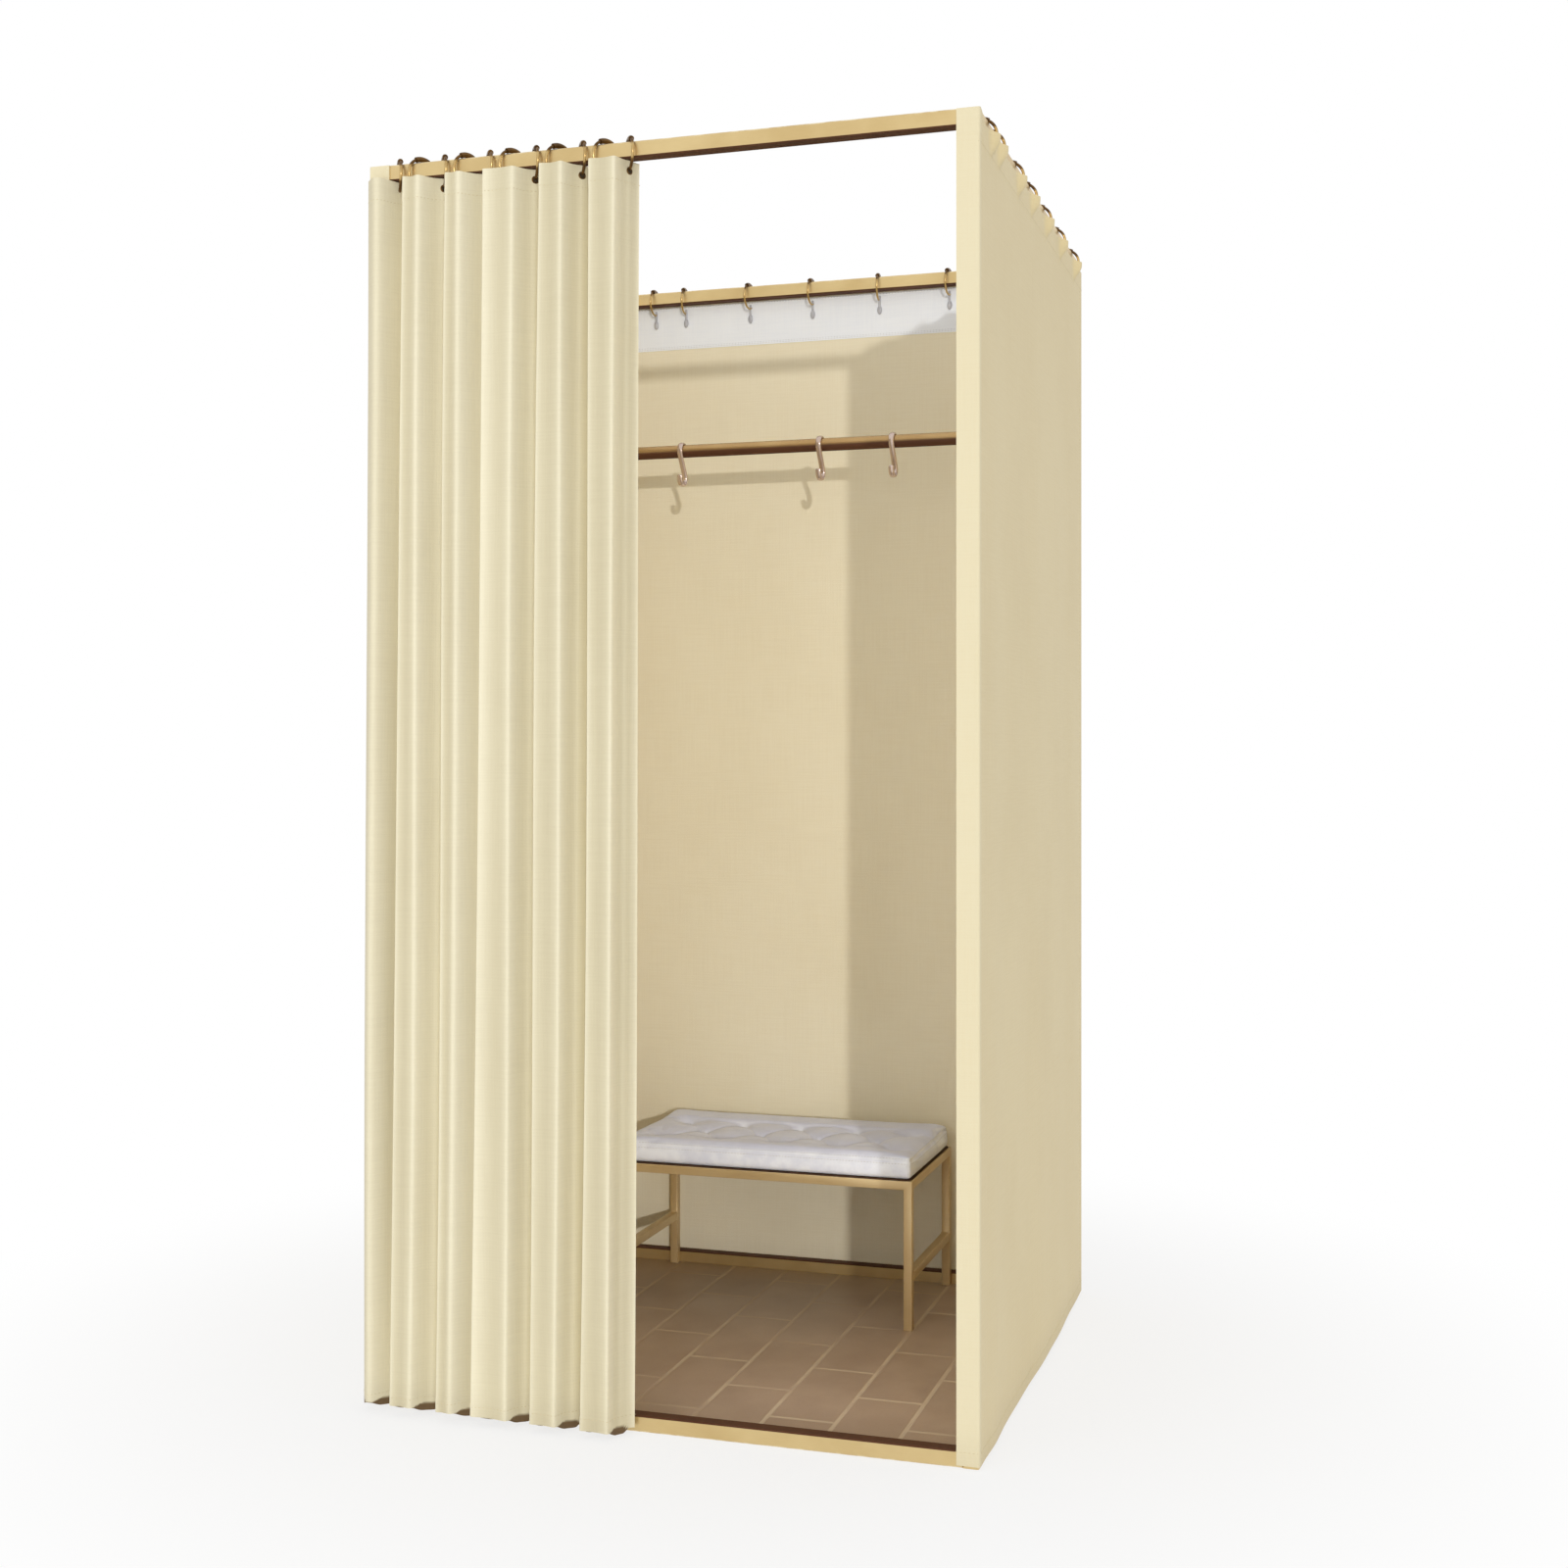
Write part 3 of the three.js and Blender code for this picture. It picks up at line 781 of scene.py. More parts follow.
# %% Small moulded hooks
graph = new_tree("tape_hooks", Stem=0.028, Wire=0.0023)
foot = graph.node("ShaderNodeCombineXYZ", None, {2: Num(graph, graph.given["Stem"]) * -1.0}).outputs[0]
stem = graph.node("GeometryNodeCurvePrimitiveLine", None, {"Start": (0.0, 0.0, 0.0), "End": foot}).outputs[0]
wire = swept(graph, stem, graph.given["Wire"], sides=10, caps=True)
ball_inputs = {"Segments": 14, "Rings": 8, "Radius": 0.0050}
ball = graph.node("GeometryNodeMeshUVSphere", None, ball_inputs).outputs[0]
bead_inputs = {"Geometry": ball, "Translation": foot, "Scale": (1.0, 0.6, 1.8)}
bead = graph.node("GeometryNodeTransform", None, bead_inputs).outputs[0]
pin_tree = end_tree(graph, on_points(graph, together(graph, wire, bead), turned=False), hook_resin)
print("trees:", len(bpy.data.node_groups))


# %% [markdown]
# ## The side curtains
#
# A side curtain hangs flat along its side and turns round the front post in a narrow
# return. The left one is the mirror image of the right one. Flat cloth is never quite
# flat: it bellies out a few millimetres between the rings and towards the hem, and its
# header bulges round the outside of each ring, so that only the tops of the rings show.
# Its lower hem and rear edge are folded and stitched.


# %% Sizes of the flat curtains
HEADER, HEM, FOOT = 0.040, 0.022, 0.0042
HEM_SEAM, HEADER_SEAM = 0.0240, 1.9490
side_rings = [middle_of(f"side_ring_{n}") for n in range(1, 8)]
side_ring_y = [ring.y for ring in side_rings]
side_face, front_face = 0.5004 + HALF_CLOTH, -(0.4879 + HALF_CLOTH)
return_edge, side_end, corner_radius = 0.4665, 0.4872, 0.003
return_width, return_top, side_step = 0.036, 1.9995, 0.0138
bulge_width, bulge_size = 0.0095, 0.0150
print("side rings at", [round(y, 3) for y in side_ring_y])


# %% Plan and levels of the cloth
def side_plan():
    """Middle points of the side curtain seen from above, from the return to the rear."""
    turn_x, turn_y = side_face - corner_radius, front_face + corner_radius
    line = [(x, front_face) for x in np.linspace(return_edge, turn_x, 12)]
    for angle in np.linspace(-90, 0, 9)[1:]:
        a = math.radians(angle)
        line.append((turn_x + corner_radius * math.cos(a), turn_y + corner_radius * math.sin(a)))
    even = np.linspace(turn_y, side_end, 100)[1:]
    near_rings = [y + step for y in side_ring_y for step in np.linspace(-0.021, 0.021, 21)]
    line += [(side_face, y) for y in sorted([*even, *near_rings])]
    return np.array(line)


def curtain_levels(count=40):
    """Heights of a curtain's rows from 1 down to 0, closer together at the header and hem."""
    header = [0.0, 0.001, 0.0028, 0.005, 0.0075, 0.010, 0.0125, 0.0150, 0.0172, 0.0190, 0.0196, 0.0202]
    hem = [0.0112, 0.0106, 0.0100, 0.0072, 0.0060, 0.0048, 0.0036, 0.0024, 0.0012, 0.0]
    return np.array([*[1 - h for h in header], *np.linspace(1 - 0.024, 0.0140, count), *hem])


# %% Shape of a side curtain
def side_belly(y, z):
    """How far the side cloth stands off the frame, in metres."""
    free = soft_step((y + 0.46) / 0.1) * soft_step((0.48 - y) / 0.05)
    drop = soft_step((1.95 - z) / 0.5)
    wide = 0.5 + 0.5 * np.sin(y * 9.0 + 0.6 + 0.35 * np.sin(z * 1.7))
    fine = 0.5 + 0.5 * np.sin(y * 31.0 + 1.3 + 0.8 * np.sin(z * 1.1))
    low = soft_step((0.9 - z) / 0.9)
    near = np.minimum(near_any(y, side_ring_y, bulge_width), 1)
    bulge = bulge_size * near * soft_step((z - 1.944) / 0.030)
    return bulge + free * drop * (0.0024 * wide + 0.0008 * fine + 0.0022 * low * wide)


def side_curtain(name, side):
    """The cloth of one side, with its middle points and half thicknesses."""
    plan = side_plan()
    along = np.concatenate([[0], np.cumsum(np.linalg.norm(np.diff(plan, axis=0), axis=1))])
    turned = soft_step((along - return_width) / 0.035)
    held = np.clip(near_any(plan[:, 1], side_ring_y, 0.03), 0, 1)
    pushed = np.clip(near_any(plan[:, 1], side_ring_y, bulge_width), 0, 1)
    tops = return_top - side_step * turned - turned * (0.0022 * (1 - held) + 0.0045 * pushed)
    z = FOOT + curtain_levels()[:, None] * (tops[None, :] - FOOT)
    x = np.broadcast_to(plan[:, 0], z.shape) + side_belly(plan[None, :, 1], z)
    y = np.broadcast_to(plan[:, 1], z.shape)
    points = np.stack([x * side, y, z], axis=-1)
    flat = np.stack([np.broadcast_to(along, z.shape), z], axis=-1)
    half = np.maximum(hem_half(z - FOOT, HEM), hem_half(np.broadcast_to(tops, z.shape) - z, HEADER))
    half = np.maximum(half, hem_half(np.broadcast_to(along[-1] - along, z.shape), 0.016))
    # painted light: the return faces the front and takes the pale colour over its first 34 mm
    painted_light_on_return = np.broadcast_to(1 - soft_step((along - 0.034) / 0.006), z.shape)
    curtain = cloth_shell(name, points, normals_of(points), half, flat, wall_cloth, painted_light_on_return)
    return curtain, points, half


# %% Hang both side curtains
return_columns, seam_column = 14, -3
clip_x, clip_top = 0.4952, 1.9635
for side, word in ((1, "right"), (-1, "left")):
    curtain, points, half = side_curtain(f"side_cloth_{word}", side)
    normals = normals_of(points)
    outward = which_side(normals[30, 100], (side, 0, 0))
    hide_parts(f"side_curtain_{word}")
    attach(curtain, "booth")
    rows = [
        row_at(points, normals, half, HEM_SEAM, outward),
        row_at(points, normals, half, HEADER_SEAM, outward)[return_columns:],
        column_at(points, normals, half, seam_column, outward),
    ]
    seams = stitch_rows(f"side_stitches_{word}", cream_stitches, rows, **flat_stitch)
    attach(seams, "booth")
    centres = [Vector((ring.x * side, ring.y, ring.z)) for ring in side_rings]
    turns = [(0.0, math.radians(90), math.radians(90 + 3 * math.sin(3 * n))) for n in range(7)]
    rings = run_tree(f"side_rings_{word}", wide_reflection_ring_tree, centres, turns=turns)
    clips = run_tree(f"side_clips_{word}", pin_tree, [(clip_x * side, y, clip_top) for y in side_ring_y])
    if side == 1:
        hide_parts(*[f"side_ring_{n}" for n in range(1, 8)])
    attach(rings, "booth")
    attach(clips, "booth")
    flat_size(curtain.name, points)
    print(curtain.name, "points", points.shape)

# %% [markdown]
# ## The rear curtain and its header tape
#
# The rear curtain is a plain sheet. On the inside a broad white tape is sewn along its
# top, which stiffens it, and small moulded hooks hang in front of the tape below the
# rings. The tape is the brightest thing inside the booth.

# %% Rear sheet
rear_rings = [middle_of(f"rear_ring_{n}") for n in range(1, 8)]
rear_reach, rear_height, rear_face = 0.4996, 1.9857, 0.4887
rear_x = np.linspace(-rear_reach, rear_reach, 150)
rear_held = np.clip(near_any(rear_x, [ring.x for ring in rear_rings], 0.03), 0, 1)
rear_top = rear_height - 0.002 * (1 - rear_held)
rear_z = FOOT + curtain_levels()[:, None] * (rear_top[None, :] - FOOT)
rear_along = np.broadcast_to(rear_x, rear_z.shape)
rear_free = soft_step((0.49 - np.abs(rear_along)) / 0.06) * soft_step((1.9 - rear_z) / 0.6)
rear_wave = 0.5 + 0.5 * np.sin(rear_along * 11.0 + 0.4 * np.sin(rear_z * 1.9))
rear_y = rear_face + rear_free * (0.003 * rear_wave + 0.002 * soft_step((0.8 - rear_z) / 0.8))
rear_points = np.stack([rear_along, rear_y, rear_z], axis=-1)
rear_flat = np.stack([rear_along + 0.5, rear_z], axis=-1)
rear_side_hem = hem_half(rear_reach - np.abs(rear_along), 0.014) - 0.0001
rear_half = np.maximum(hem_half(rear_z - FOOT, HEM), rear_side_hem)
rear_half = np.where(rear_z > 1.86, HALF_CLOTH, rear_half)
rear_normals = normals_of(rear_points)
rear_cloth = cloth_shell("rear_cloth", rear_points, rear_normals, rear_half, rear_flat, inner_cloth)
print("rear cloth points", rear_points.shape)

# %% Header tape, stitches and small hooks
tape_reach, tape_high, tape_low, tape_face = 0.4735, 1.9738, 1.8855, 0.4873
tape_x = np.linspace(-tape_reach, tape_reach, 90)
tape_along, tape_z = np.meshgrid(tape_x, np.linspace(tape_high, tape_low, 14))
tape_y = tape_face + 0.0001 * np.sin(tape_along * 60)
tape_points = np.stack([tape_along, tape_y, tape_z], axis=-1)
tape_flat = np.stack([tape_along + 0.5, tape_z], axis=-1)
tape = cloth_shell("header_tape", tape_points, normals_of(tape_points), 0.0005, tape_flat, tape_white)
tape_rows = [[(x, tape_face - 0.0005, z) for x in tape_x] for z in (1.9712, 1.8885, 1.8915)]
tape_seams = stitch_rows("tape_stitches", white_stitches, tape_rows, **tape_stitch)
rear_side = which_side(rear_normals[20, 70], (0, 1, 0))
rear_rows = [
    row_at(rear_points, rear_normals, rear_half, HEM_SEAM, face) for face in (rear_side, -rear_side)
]
rear_seams = stitch_rows("rear_stitches", cream_stitches, rear_rows, **flat_stitch)
pins = run_tree("tape_hooks", pin_tree, [(ring.x, 0.4850, 1.9665) for ring in rear_rings])
print("tape", round(2000 * tape_reach), "by", round(1000 * (tape_high - tape_low)), "mm")

# %% Hang the rear curtain
rear_turns = [(0.0, math.radians(90), math.radians(6 * math.sin(2 * n))) for n in range(7)]
rear_hoops = run_tree("rear_rings", wide_reflection_ring_tree, rear_rings, turns=rear_turns, Wire=0.0020)
rear_holes = [(ring.x, rear_face - 0.0003, ring.z - 0.0209) for ring in rear_rings]
rear_rims = eyelets("rear_eyelets", rear_holes, [(0, 1, 0)] * 7)
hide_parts("rear_curtain")
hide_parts(*[f"rear_ring_{n}" for n in range(1, 8)])
for piece in (rear_cloth, tape, tape_seams, rear_seams, pins, rear_hoops, rear_rims):
    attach(piece, "booth")
flat_size("rear_cloth", rear_points)
flat_size("header_tape", tape_points)

# %% [markdown]
# ## The doorway curtain
#
# Eleven rings hold this curtain, gathered at the left of its rail. Seen from above, the
# cloth swings forward and back between the rings, one round fold after another. The line
# is drawn once for the whole curtain, at many heights, and cut into strips at the rings.
# It leans forward a little, because its hem hangs in front of the bottom rail.
# A share below is 0 at the rail and 1 at the hem.

# %% Rings of the doorway curtain
door_rings = [middle_of(f"front_ring_{n:02d}") for n in range(11)]
ring_x = [ring.x for ring in door_rings]
pitch = (ring_x[-1] - ring_x[0]) / 10
RAIL_Y, RAIL_Z = -0.475, 1.9875
TOP, LOW = 0.0140, 1.9783
lean = math.atan2(0.0555, 1.978)
print("ring spacing", round(pitch * 1000, 1), "mm, lean", round(math.degrees(lean), 2), "degrees")


# %% Places below the rail
def centre_of(share):
    """How far the middle of the folds hangs back of the leaning plane."""
    return 0.0160 * soft_step(share * 1.15)


def hang_point(x, back, drop):
    """A point that hangs below the rail: how far back of the leaning plane, and how far down."""
    c, s = math.cos(lean), math.sin(lean)
    return np.stack([x, RAIL_Y + back * c - drop * s, RAIL_Z - back * s - drop * c], axis=-1)

# %% [markdown]
# Each fold in front of the rail has two narrow ridges with a shallow valley between, and
# a long side that falls back to the next ring. The shape is a few points per fold, given
# in shares of the ring spacing and of the swing. Each point also has a mark, which paints
# a highlight, strongest on the ridges: the cloth is made paler there.

# %% How the folds differ
FLAP_STEPS, STEPS, TAIL_STEPS = 18, 48, 8
SWING = 0.0300
first_ridge = {1: -0.54, 3: -0.58, 5: -0.98, 7: -0.54, 9: -0.40}
second_ridge = {1: 0.24, 3: -0.04, 5: 0.34, 7: 0.42, 9: 0.62}
hem_drift = {1: 0.04, 3: 0.14, 5: 0.10, 7: 0.12, 9: 0.10}
broad_ridge = {1: 0.0, 3: 0.0, 5: 0.9, 7: 0.1, 9: 0.0}
fullness = [0.97, 0.97, 1.02, 1.0, 0.95, 1.06, 1.0, 1.02, 1.03, 0.97]
print("folds in front of the rail:", len(first_ridge))


# %% The line of the folds seen from above
def front_fold(strip, share):
    """Points of a fold in front of the rail: along, swing, mark."""
    sway = 0.05 * math.sin(strip * 1.3 + share * 4.2)
    one = first_ridge[strip] + sway
    two = second_ridge[strip] + hem_drift[strip] * share - sway * 0.6
    dip = 0.80 - 0.05 * math.sin(strip * 2.1 + share * 3.4)
    slack = 1 - two
    return [
        (0, 0, 1), (one * 0.45, 0.4, 0.9), (one - 0.05, 0.8, 0.7), (one + 0.02, 0.96, 1),
        (one + 0.14, 0.92, broad_ridge[strip]), ((one + two) / 2, dip, -0.12),
        (two - 0.13, 0.93, 0), (two, 1.02, 1), (two + slack * 0.12, 0.86, 1),
        (two + slack * 0.25, 0.56, 0.6), (two + slack * 0.5, 0.27, 0.1),
        (two + slack * 0.76, 0.1, 0.1), (1, 0, 0.8),
    ]


def rear_fold(strip, share):
    """Points of a fold behind the rail."""
    lean_back = 0.05 * math.sin(strip * 1.7 + share * 3.0)
    return [
        (0, 0, 0.9), (0.14, 0.34, 0.5), (0.3 + lean_back, 0.76, 0), (0.46 + lean_back, 0.97, 0),
        (0.62 + lean_back, 1.0, 0), (0.78, 0.84, 0), (0.92, 0.46, 0.8), (1, 0, 1),
    ]


# %% Flap and tail
def flap_points(share):
    """The cloth left of the first ring, which stays in front of the post."""
    low = soft_step(share * 1.15)
    drop = LOW * share * math.sin(lean)
    along = [-0.4995, -0.4930, -0.4860, -0.4795, -0.4730, -0.4690, -0.4635]
    at_rail = [-0.4945, -0.5020, -0.5090, -0.5140, -0.5140, -0.5030, -0.4880]
    at_hem = [-0.5080, -0.5210, -0.5320, -0.5390, -0.5390, -0.5310, -0.5215]
    # marks paint a highlight on the flap's ridges
    marks = [0, 0, -0.1, 0.5, 1, 0.5, 1]
    chain = []
    for x, rail, hem, mark in zip(along, at_rail, at_hem, marks):
        chain.append((x, rail + (hem - rail) * low - RAIL_Y + drop, mark))
    return [*chain, (ring_x[0], centre_of(share), 0)]


def tail_points(share):
    """The last few centimetres right of the last ring, with a painted highlight on the leading edge."""
    reach, centre = 0.008 + 0.008 * share, centre_of(share)
    shape = [(0, 0, 0), (0.3, 0.010, 0.1), (0.7, 0.017, 0.7), (1, 0.019, 1)]
    return [(ring_x[-1] + reach * a, centre + b, mark) for a, b, mark in shape]


# %% One row of the whole curtain
def spread(points, count):
    """Rows of numbers along a chain of points, at even steps from point to point."""
    columns, numbers = np.array(points, float).T, np.arange(len(points))
    place = np.linspace(0, len(points) - 1, count + 1)
    return np.stack([np.interp(place, numbers, column) for column in columns], axis=1)


def eased(path, times):
    """A row of points, smoothed a few times between its fixed ends."""
    path = np.array(path, float)
    for _ in range(times):
        path[1:-1] = (path[:-2] + 2 * path[1:-1] + path[2:]) / 4
    return path


def fold_row(share):
    """The whole curtain at one height: along the rail, back of it, and the mark."""
    chain = [spread(flap_points(share), FLAP_STEPS)]
    for strip in range(10):
        in_front = strip % 2
        shape = front_fold(strip, share) if in_front else rear_fold(strip, share)
        size = SWING * (1 - 0.06 * share) * (1 + (fullness[strip] - 1) * (0.3 + 0.7 * share))
        size *= (1 + 0.03 * math.sin(share * 5.0 + strip)) * (-1 if in_front else 1 - 0.22 * share**3)
        points = [(ring_x[strip] + pitch * a, centre_of(share) + size * b, mark) for a, b, mark in shape]
        chain.append(spread(points, STEPS)[1:])
    chain.append(spread(tail_points(share), TAIL_STEPS)[1:])
    return eased(np.concatenate(chain), 8)


# %% [markdown]
# The hem isn't level. It rises a few millimetres towards the left, and in the gaps between
# the folds it hangs a little lower and carries a painted shadow. A mark below zero means
# painted shadow, in dark brown.

# %% All points of the doorway curtain
shares = 1 - curtain_levels()
rows = np.array([fold_row(share) for share in shares])
from_middle = rows[..., 1] - centre_of(shares)[:, None]
in_gap = soft_step((from_middle + 0.026) / 0.019) * soft_step((0.014 - from_middle) / 0.010)
lift = 0.008 * np.clip(rows[..., 0] / -0.5, 0, 1)
drops = TOP + (LOW - lift + 0.0065 * in_gap - TOP) * shares[:, None]
whole = hang_point(rows[..., 0], rows[..., 1], drops)
# painted shadow in the gaps at the hem, as a mark below zero
hem_dust_and_painted_shadow = soft_step((0.0125 * in_gap - (drops[-1:] - drops)) / 0.0012)
marks = rows[..., 2] * (1 - hem_dust_and_painted_shadow) - hem_dust_and_painted_shadow
print("doorway curtain points", whole.shape)

# %% Thickness, flat cloth and seams
whole_normals = normals_of(whole)
steps = np.linalg.norm(np.diff(whole, axis=1), axis=2)
whole_along = np.concatenate([np.zeros((len(whole), 1)), np.cumsum(steps, axis=1)], axis=1)
above_hem, below_top = whole[..., 2] - whole[-1:, :, 2], whole[:1, :, 2] - whole[..., 2]
edge_gap = np.minimum(whole_along, whole_along[:, -1:] - whole_along)
whole_half = np.maximum(hem_half(above_hem, HEM), hem_half(below_top, HEADER))
whole_half = np.maximum(whole_half, hem_half(edge_gap, 0.012))
whole_flat = np.stack([whole_along, whole[..., 2]], axis=-1)
door_front = which_side(whole_normals[20, 5], (0, -1, 0))
door_lines = [row_at(whole, whole_normals, whole_half, height, door_front) for height in (0.0298, 1.9390)]
print("doorway cloth, flat width", round(float(whole_along[20, -1]), 3), "m")

# %% Cut, sew and hang the doorway curtain
cuts = [0, *[FLAP_STEPS + STEPS * n for n in range(11)], whole.shape[1] - 1]
flap_bend = 0.013
for index in range(12):
    cut = slice(cuts[index], cuts[index + 1] + 1)
    name = "door_flap" if index == 0 else "door_tail" if index == 11 else f"door_fold_{index - 1:02d}"
    strip = cloth_shell(
        name, whole[:, cut], whole_normals[:, cut], whole_half[:, cut],
        whole_flat[:, cut], door_cloth, marks[:, cut],
    )
    seam_lines = [line[cut] for line in door_lines]
    seams = stitch_rows(name + "_stitches", cream_stitches, seam_lines, **door_stitch)
    for piece in (strip, seams):
        if index == 0:
            start, end = (ring_x[0] - flap_bend, 0, 0), (ring_x[0], 0, 0)
            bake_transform(piece)
        elif index == 11:
            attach(piece, "curtain_fold_10")
        else:
            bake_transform(piece)
    if index > 0:
        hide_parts(f"front_panel_{index - 1:02d}")
    flat_size(name, whole[:, cut])

# %% Rings and eyelets of the doorway curtain
ring_yaw, eyelet_drop = math.radians(33), 0.0299
for n, ring in enumerate(door_rings):
    leaned = Matrix.Rotation(-lean, 3, "X")
    swung = Matrix.Rotation(ring_yaw if n % 2 == 0 else -ring_yaw, 3, "Z")
    turn = (leaned @ swung @ Matrix.Rotation(math.radians(90), 3, "Y")).to_euler()
    hoop_piece = run_tree(f"door_ring_{n:02d}", ring_tree, [ring], turns=[tuple(turn)], Glide=0.0045)
    column = cuts[n + 1]
    hole = hang_point(ring.x, 0.0, eyelet_drop)
    row = int(np.argmin(np.abs(whole[:, column, 2] - hole[2])))
    rim = eyelets(f"door_eyelet_{n:02d}", [hole], [whole_normals[row, column]])
    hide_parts(f"front_ring_{n:02d}")
    for piece in (hoop_piece, rim):
        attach(piece, "booth" if n == 0 and piece is hoop_piece else f"curtain_fold_{n:02d}")
print("doorway rings:", len(door_rings))

# %% [markdown]
# ## Hanging bar and hooks
#
# The bar is a round tube with closed ends and rounded rims. A turned shape like this is a
# profile swung round an axis. The hooks are bent from narrow flat bar into an S, and their
# tips are rounded. A wire is a curve with a round bevel, and thinner radii at its last
# points round off the tip.


# %% Turned shapes
def turned_bar(name, centre, profile, sides, material):
    """A profile of (along X, radius) swung round the X axis."""
    work, loops = bmesh.new(), []
    turns = [2 * math.pi * n / sides for n in range(sides)]
    x, y, z = centre
    for along, radius in profile:
        places = [(x + along, y + radius * math.cos(turn), z + radius * math.sin(turn)) for turn in turns]
        loops.append([work.verts.new(place) for place in places])
    for first, second in zip(loops, loops[1:]):
        for n in range(sides):
            m = (n + 1) % sides
            work.faces.new((first[n], first[m], second[m], second[n]))
    work.faces.new(loops[0])
    work.faces.new(loops[-1][::-1])
    bmesh.ops.recalc_face_normals(work, faces=work.faces)
    mesh = bpy.data.meshes.new(name)
    work.to_mesh(mesh)
    work.free()
    face_out(mesh)
    smooth(mesh, 35)
    return new_object(name, mesh, material)


# %% The bar
bar_low, bar_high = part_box("hanging_bar")
bar_middle = (bar_low + bar_high) / 2
bar_half, bar_radius, rim_round, end_gap = (bar_high.x - bar_low.x) / 2, 0.0125, 0.0022, 0.0002
rim_turns = np.radians([0, 25, 50, 75, 90])
rim_line = [
    (bar_half - end_gap - rim_round * (1 - math.cos(a)), bar_radius - rim_round * (1 - math.sin(a)))
    for a in rim_turns
]
tube_line = [(x, bar_radius) for x in np.linspace(-0.48, 0.48, 25)]
profile = [(-along, radius) for along, radius in rim_line] + tube_line + rim_line[::-1]
bar = turned_bar("clothes_bar", bar_middle, profile, 64, bar_gold)
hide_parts("hanging_bar")
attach(bar, "booth")
print("bar length", round(2 * bar_half, 3), "m")


# %% Bent shapes
def tip_points(tip, inner, radius):
    """Places past the end of a wire, with shares of its radius that round it off."""
    out = np.subtract(tip, inner) / np.linalg.norm(np.subtract(tip, inner))
    return [(tip + out * radius * math.sin(a), math.cos(a)) for a in np.radians([20, 40, 60, 78])]


def bent_wire(name, line, radius, wide, material):
    """A wire along a line of points in a YZ plane, with rounded tips. wide stretches it along X."""
    points = tip_points(line[0], line[1], radius)[::-1] + [(point, 1.0) for point in line]
    points += tip_points(line[-1], line[-2], radius)
    curve = bpy.data.curves.new(name, "CURVE")
    curve.dimensions = "3D"
    curve.bevel_depth = radius
    curve.bevel_resolution = 5
    curve.use_fill_caps = True
    spline = curve.splines.new("POLY")
    spline.points.add(len(points) - 1)
    for place, (spot, size) in zip(spline.points, points):
        place.co = (*spot, 1.0)
        place.radius = size
    carrier = bpy.data.objects.new(name, curve)
    scene.collection.objects.link(carrier)
    mesh = plain_mesh(carrier)
    bpy.data.objects.remove(carrier)
    mesh.transform(Matrix.Translation((line[0][0] * (1 - wide), 0, 0)) @ Matrix.Diagonal((wide, 1, 1, 1)))
    mesh.materials.clear()
    face_out(mesh)
    smooth(mesh, 60)
    return new_object(name, mesh, material)


# %% The hooks
def arc(radius, height, first, last, count):
    """Points (y, z) of an arc round the bar's axis or below it, between two angles."""
    angles = np.radians(np.linspace(first, last, count))
    return [(radius * math.cos(a), height + radius * math.sin(a)) for a in angles]


upper, lower = arc(0.0156, 0, -25, 205, 34), arc(0.015, -0.052, 25, -190, 32)
bend = [np.array(upper[-1]) + np.subtract(lower[0], upper[-1]) * t for t in np.linspace(0, 1, 14)[1:-1]]
hook_line = eased([*upper, *bend, *lower], 6)
for n in (1, 2, 3):
    hook_x = middle_of(f"s_hook_{n}").x
    line = [(hook_x, bar_middle.y + y, bar_middle.z + z) for y, z in hook_line]
    hook = bent_wire(f"wire_hook_{n}", line, 0.0023, 2.4, hook_metal)
    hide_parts(f"s_hook_{n}")
    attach(hook, f"hook_{n}")
print("hook", round(1000 * float(np.ptp(hook_line[:, 1]))), "mm high")

# %% [markdown]
# ## The bench
#
# The frame of the bench is welded from slim square tube. A copy of the solid is merged
# and given small rounded edges, which catch the light as real tube does, and each joint
# of a stretcher has its weld bead, which is a row of tiny overlapping drops.

# %% Bench frame
bench_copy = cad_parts["bench_frame"].data.copy()
work = bmesh.new()
work.from_mesh(bench_copy)
bmesh.ops.remove_doubles(work, verts=work.verts, dist=0.00001)
bmesh.ops.dissolve_limit(work, angle_limit=math.radians(1), verts=work.verts, edges=work.edges)
bmesh.ops.recalc_face_normals(work, faces=work.faces)
work.to_mesh(bench_copy)
work.free()
bench_copy.materials.clear()
bench = new_object("bench_tubes", bench_copy, bench_gold)
bevel = bench.modifiers.new("rounded", "BEVEL")
bevel.width, bevel.segments, bevel.limit_method = 0.0014, 3, "ANGLE"
bench.data = plain_mesh(bench)
bench.modifiers.clear()
smooth(bench.data, 35)
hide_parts("bench_frame")
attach(bench, "bench")
print("bench faces", len(bench.data.polygons))

# %% Weld beads of the stretchers
weld_tree = stitch_tree("weld_beads", bench_gold)
bench_low, bench_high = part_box("bench_frame")
tube, stretcher_z = 0.016, 0.100
square = [(-1, -1), (1, -1), (1, 1), (-1, 1), (-1, -1)]
beads = []
for x in (bench_low.x + tube / 2, bench_high.x - tube / 2):
    for y in (bench_low.y + tube, bench_high.y - tube):
        beads.append([(x + a * tube / 2, y, stretcher_z + b * tube / 2) for a, b in square])
welds = stitch_rows("weld_beads", weld_tree, beads, Spacing=0.0011, Length=0.0030, Thread=0.0011)
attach(welds, "bench")
print("welds:", len(beads))

# %% [markdown]
# A thin board lies on the frame and carries the cushion. Only its edge shows, and its
# dark colour is painted shade: a dark line between the metal and the cloth.

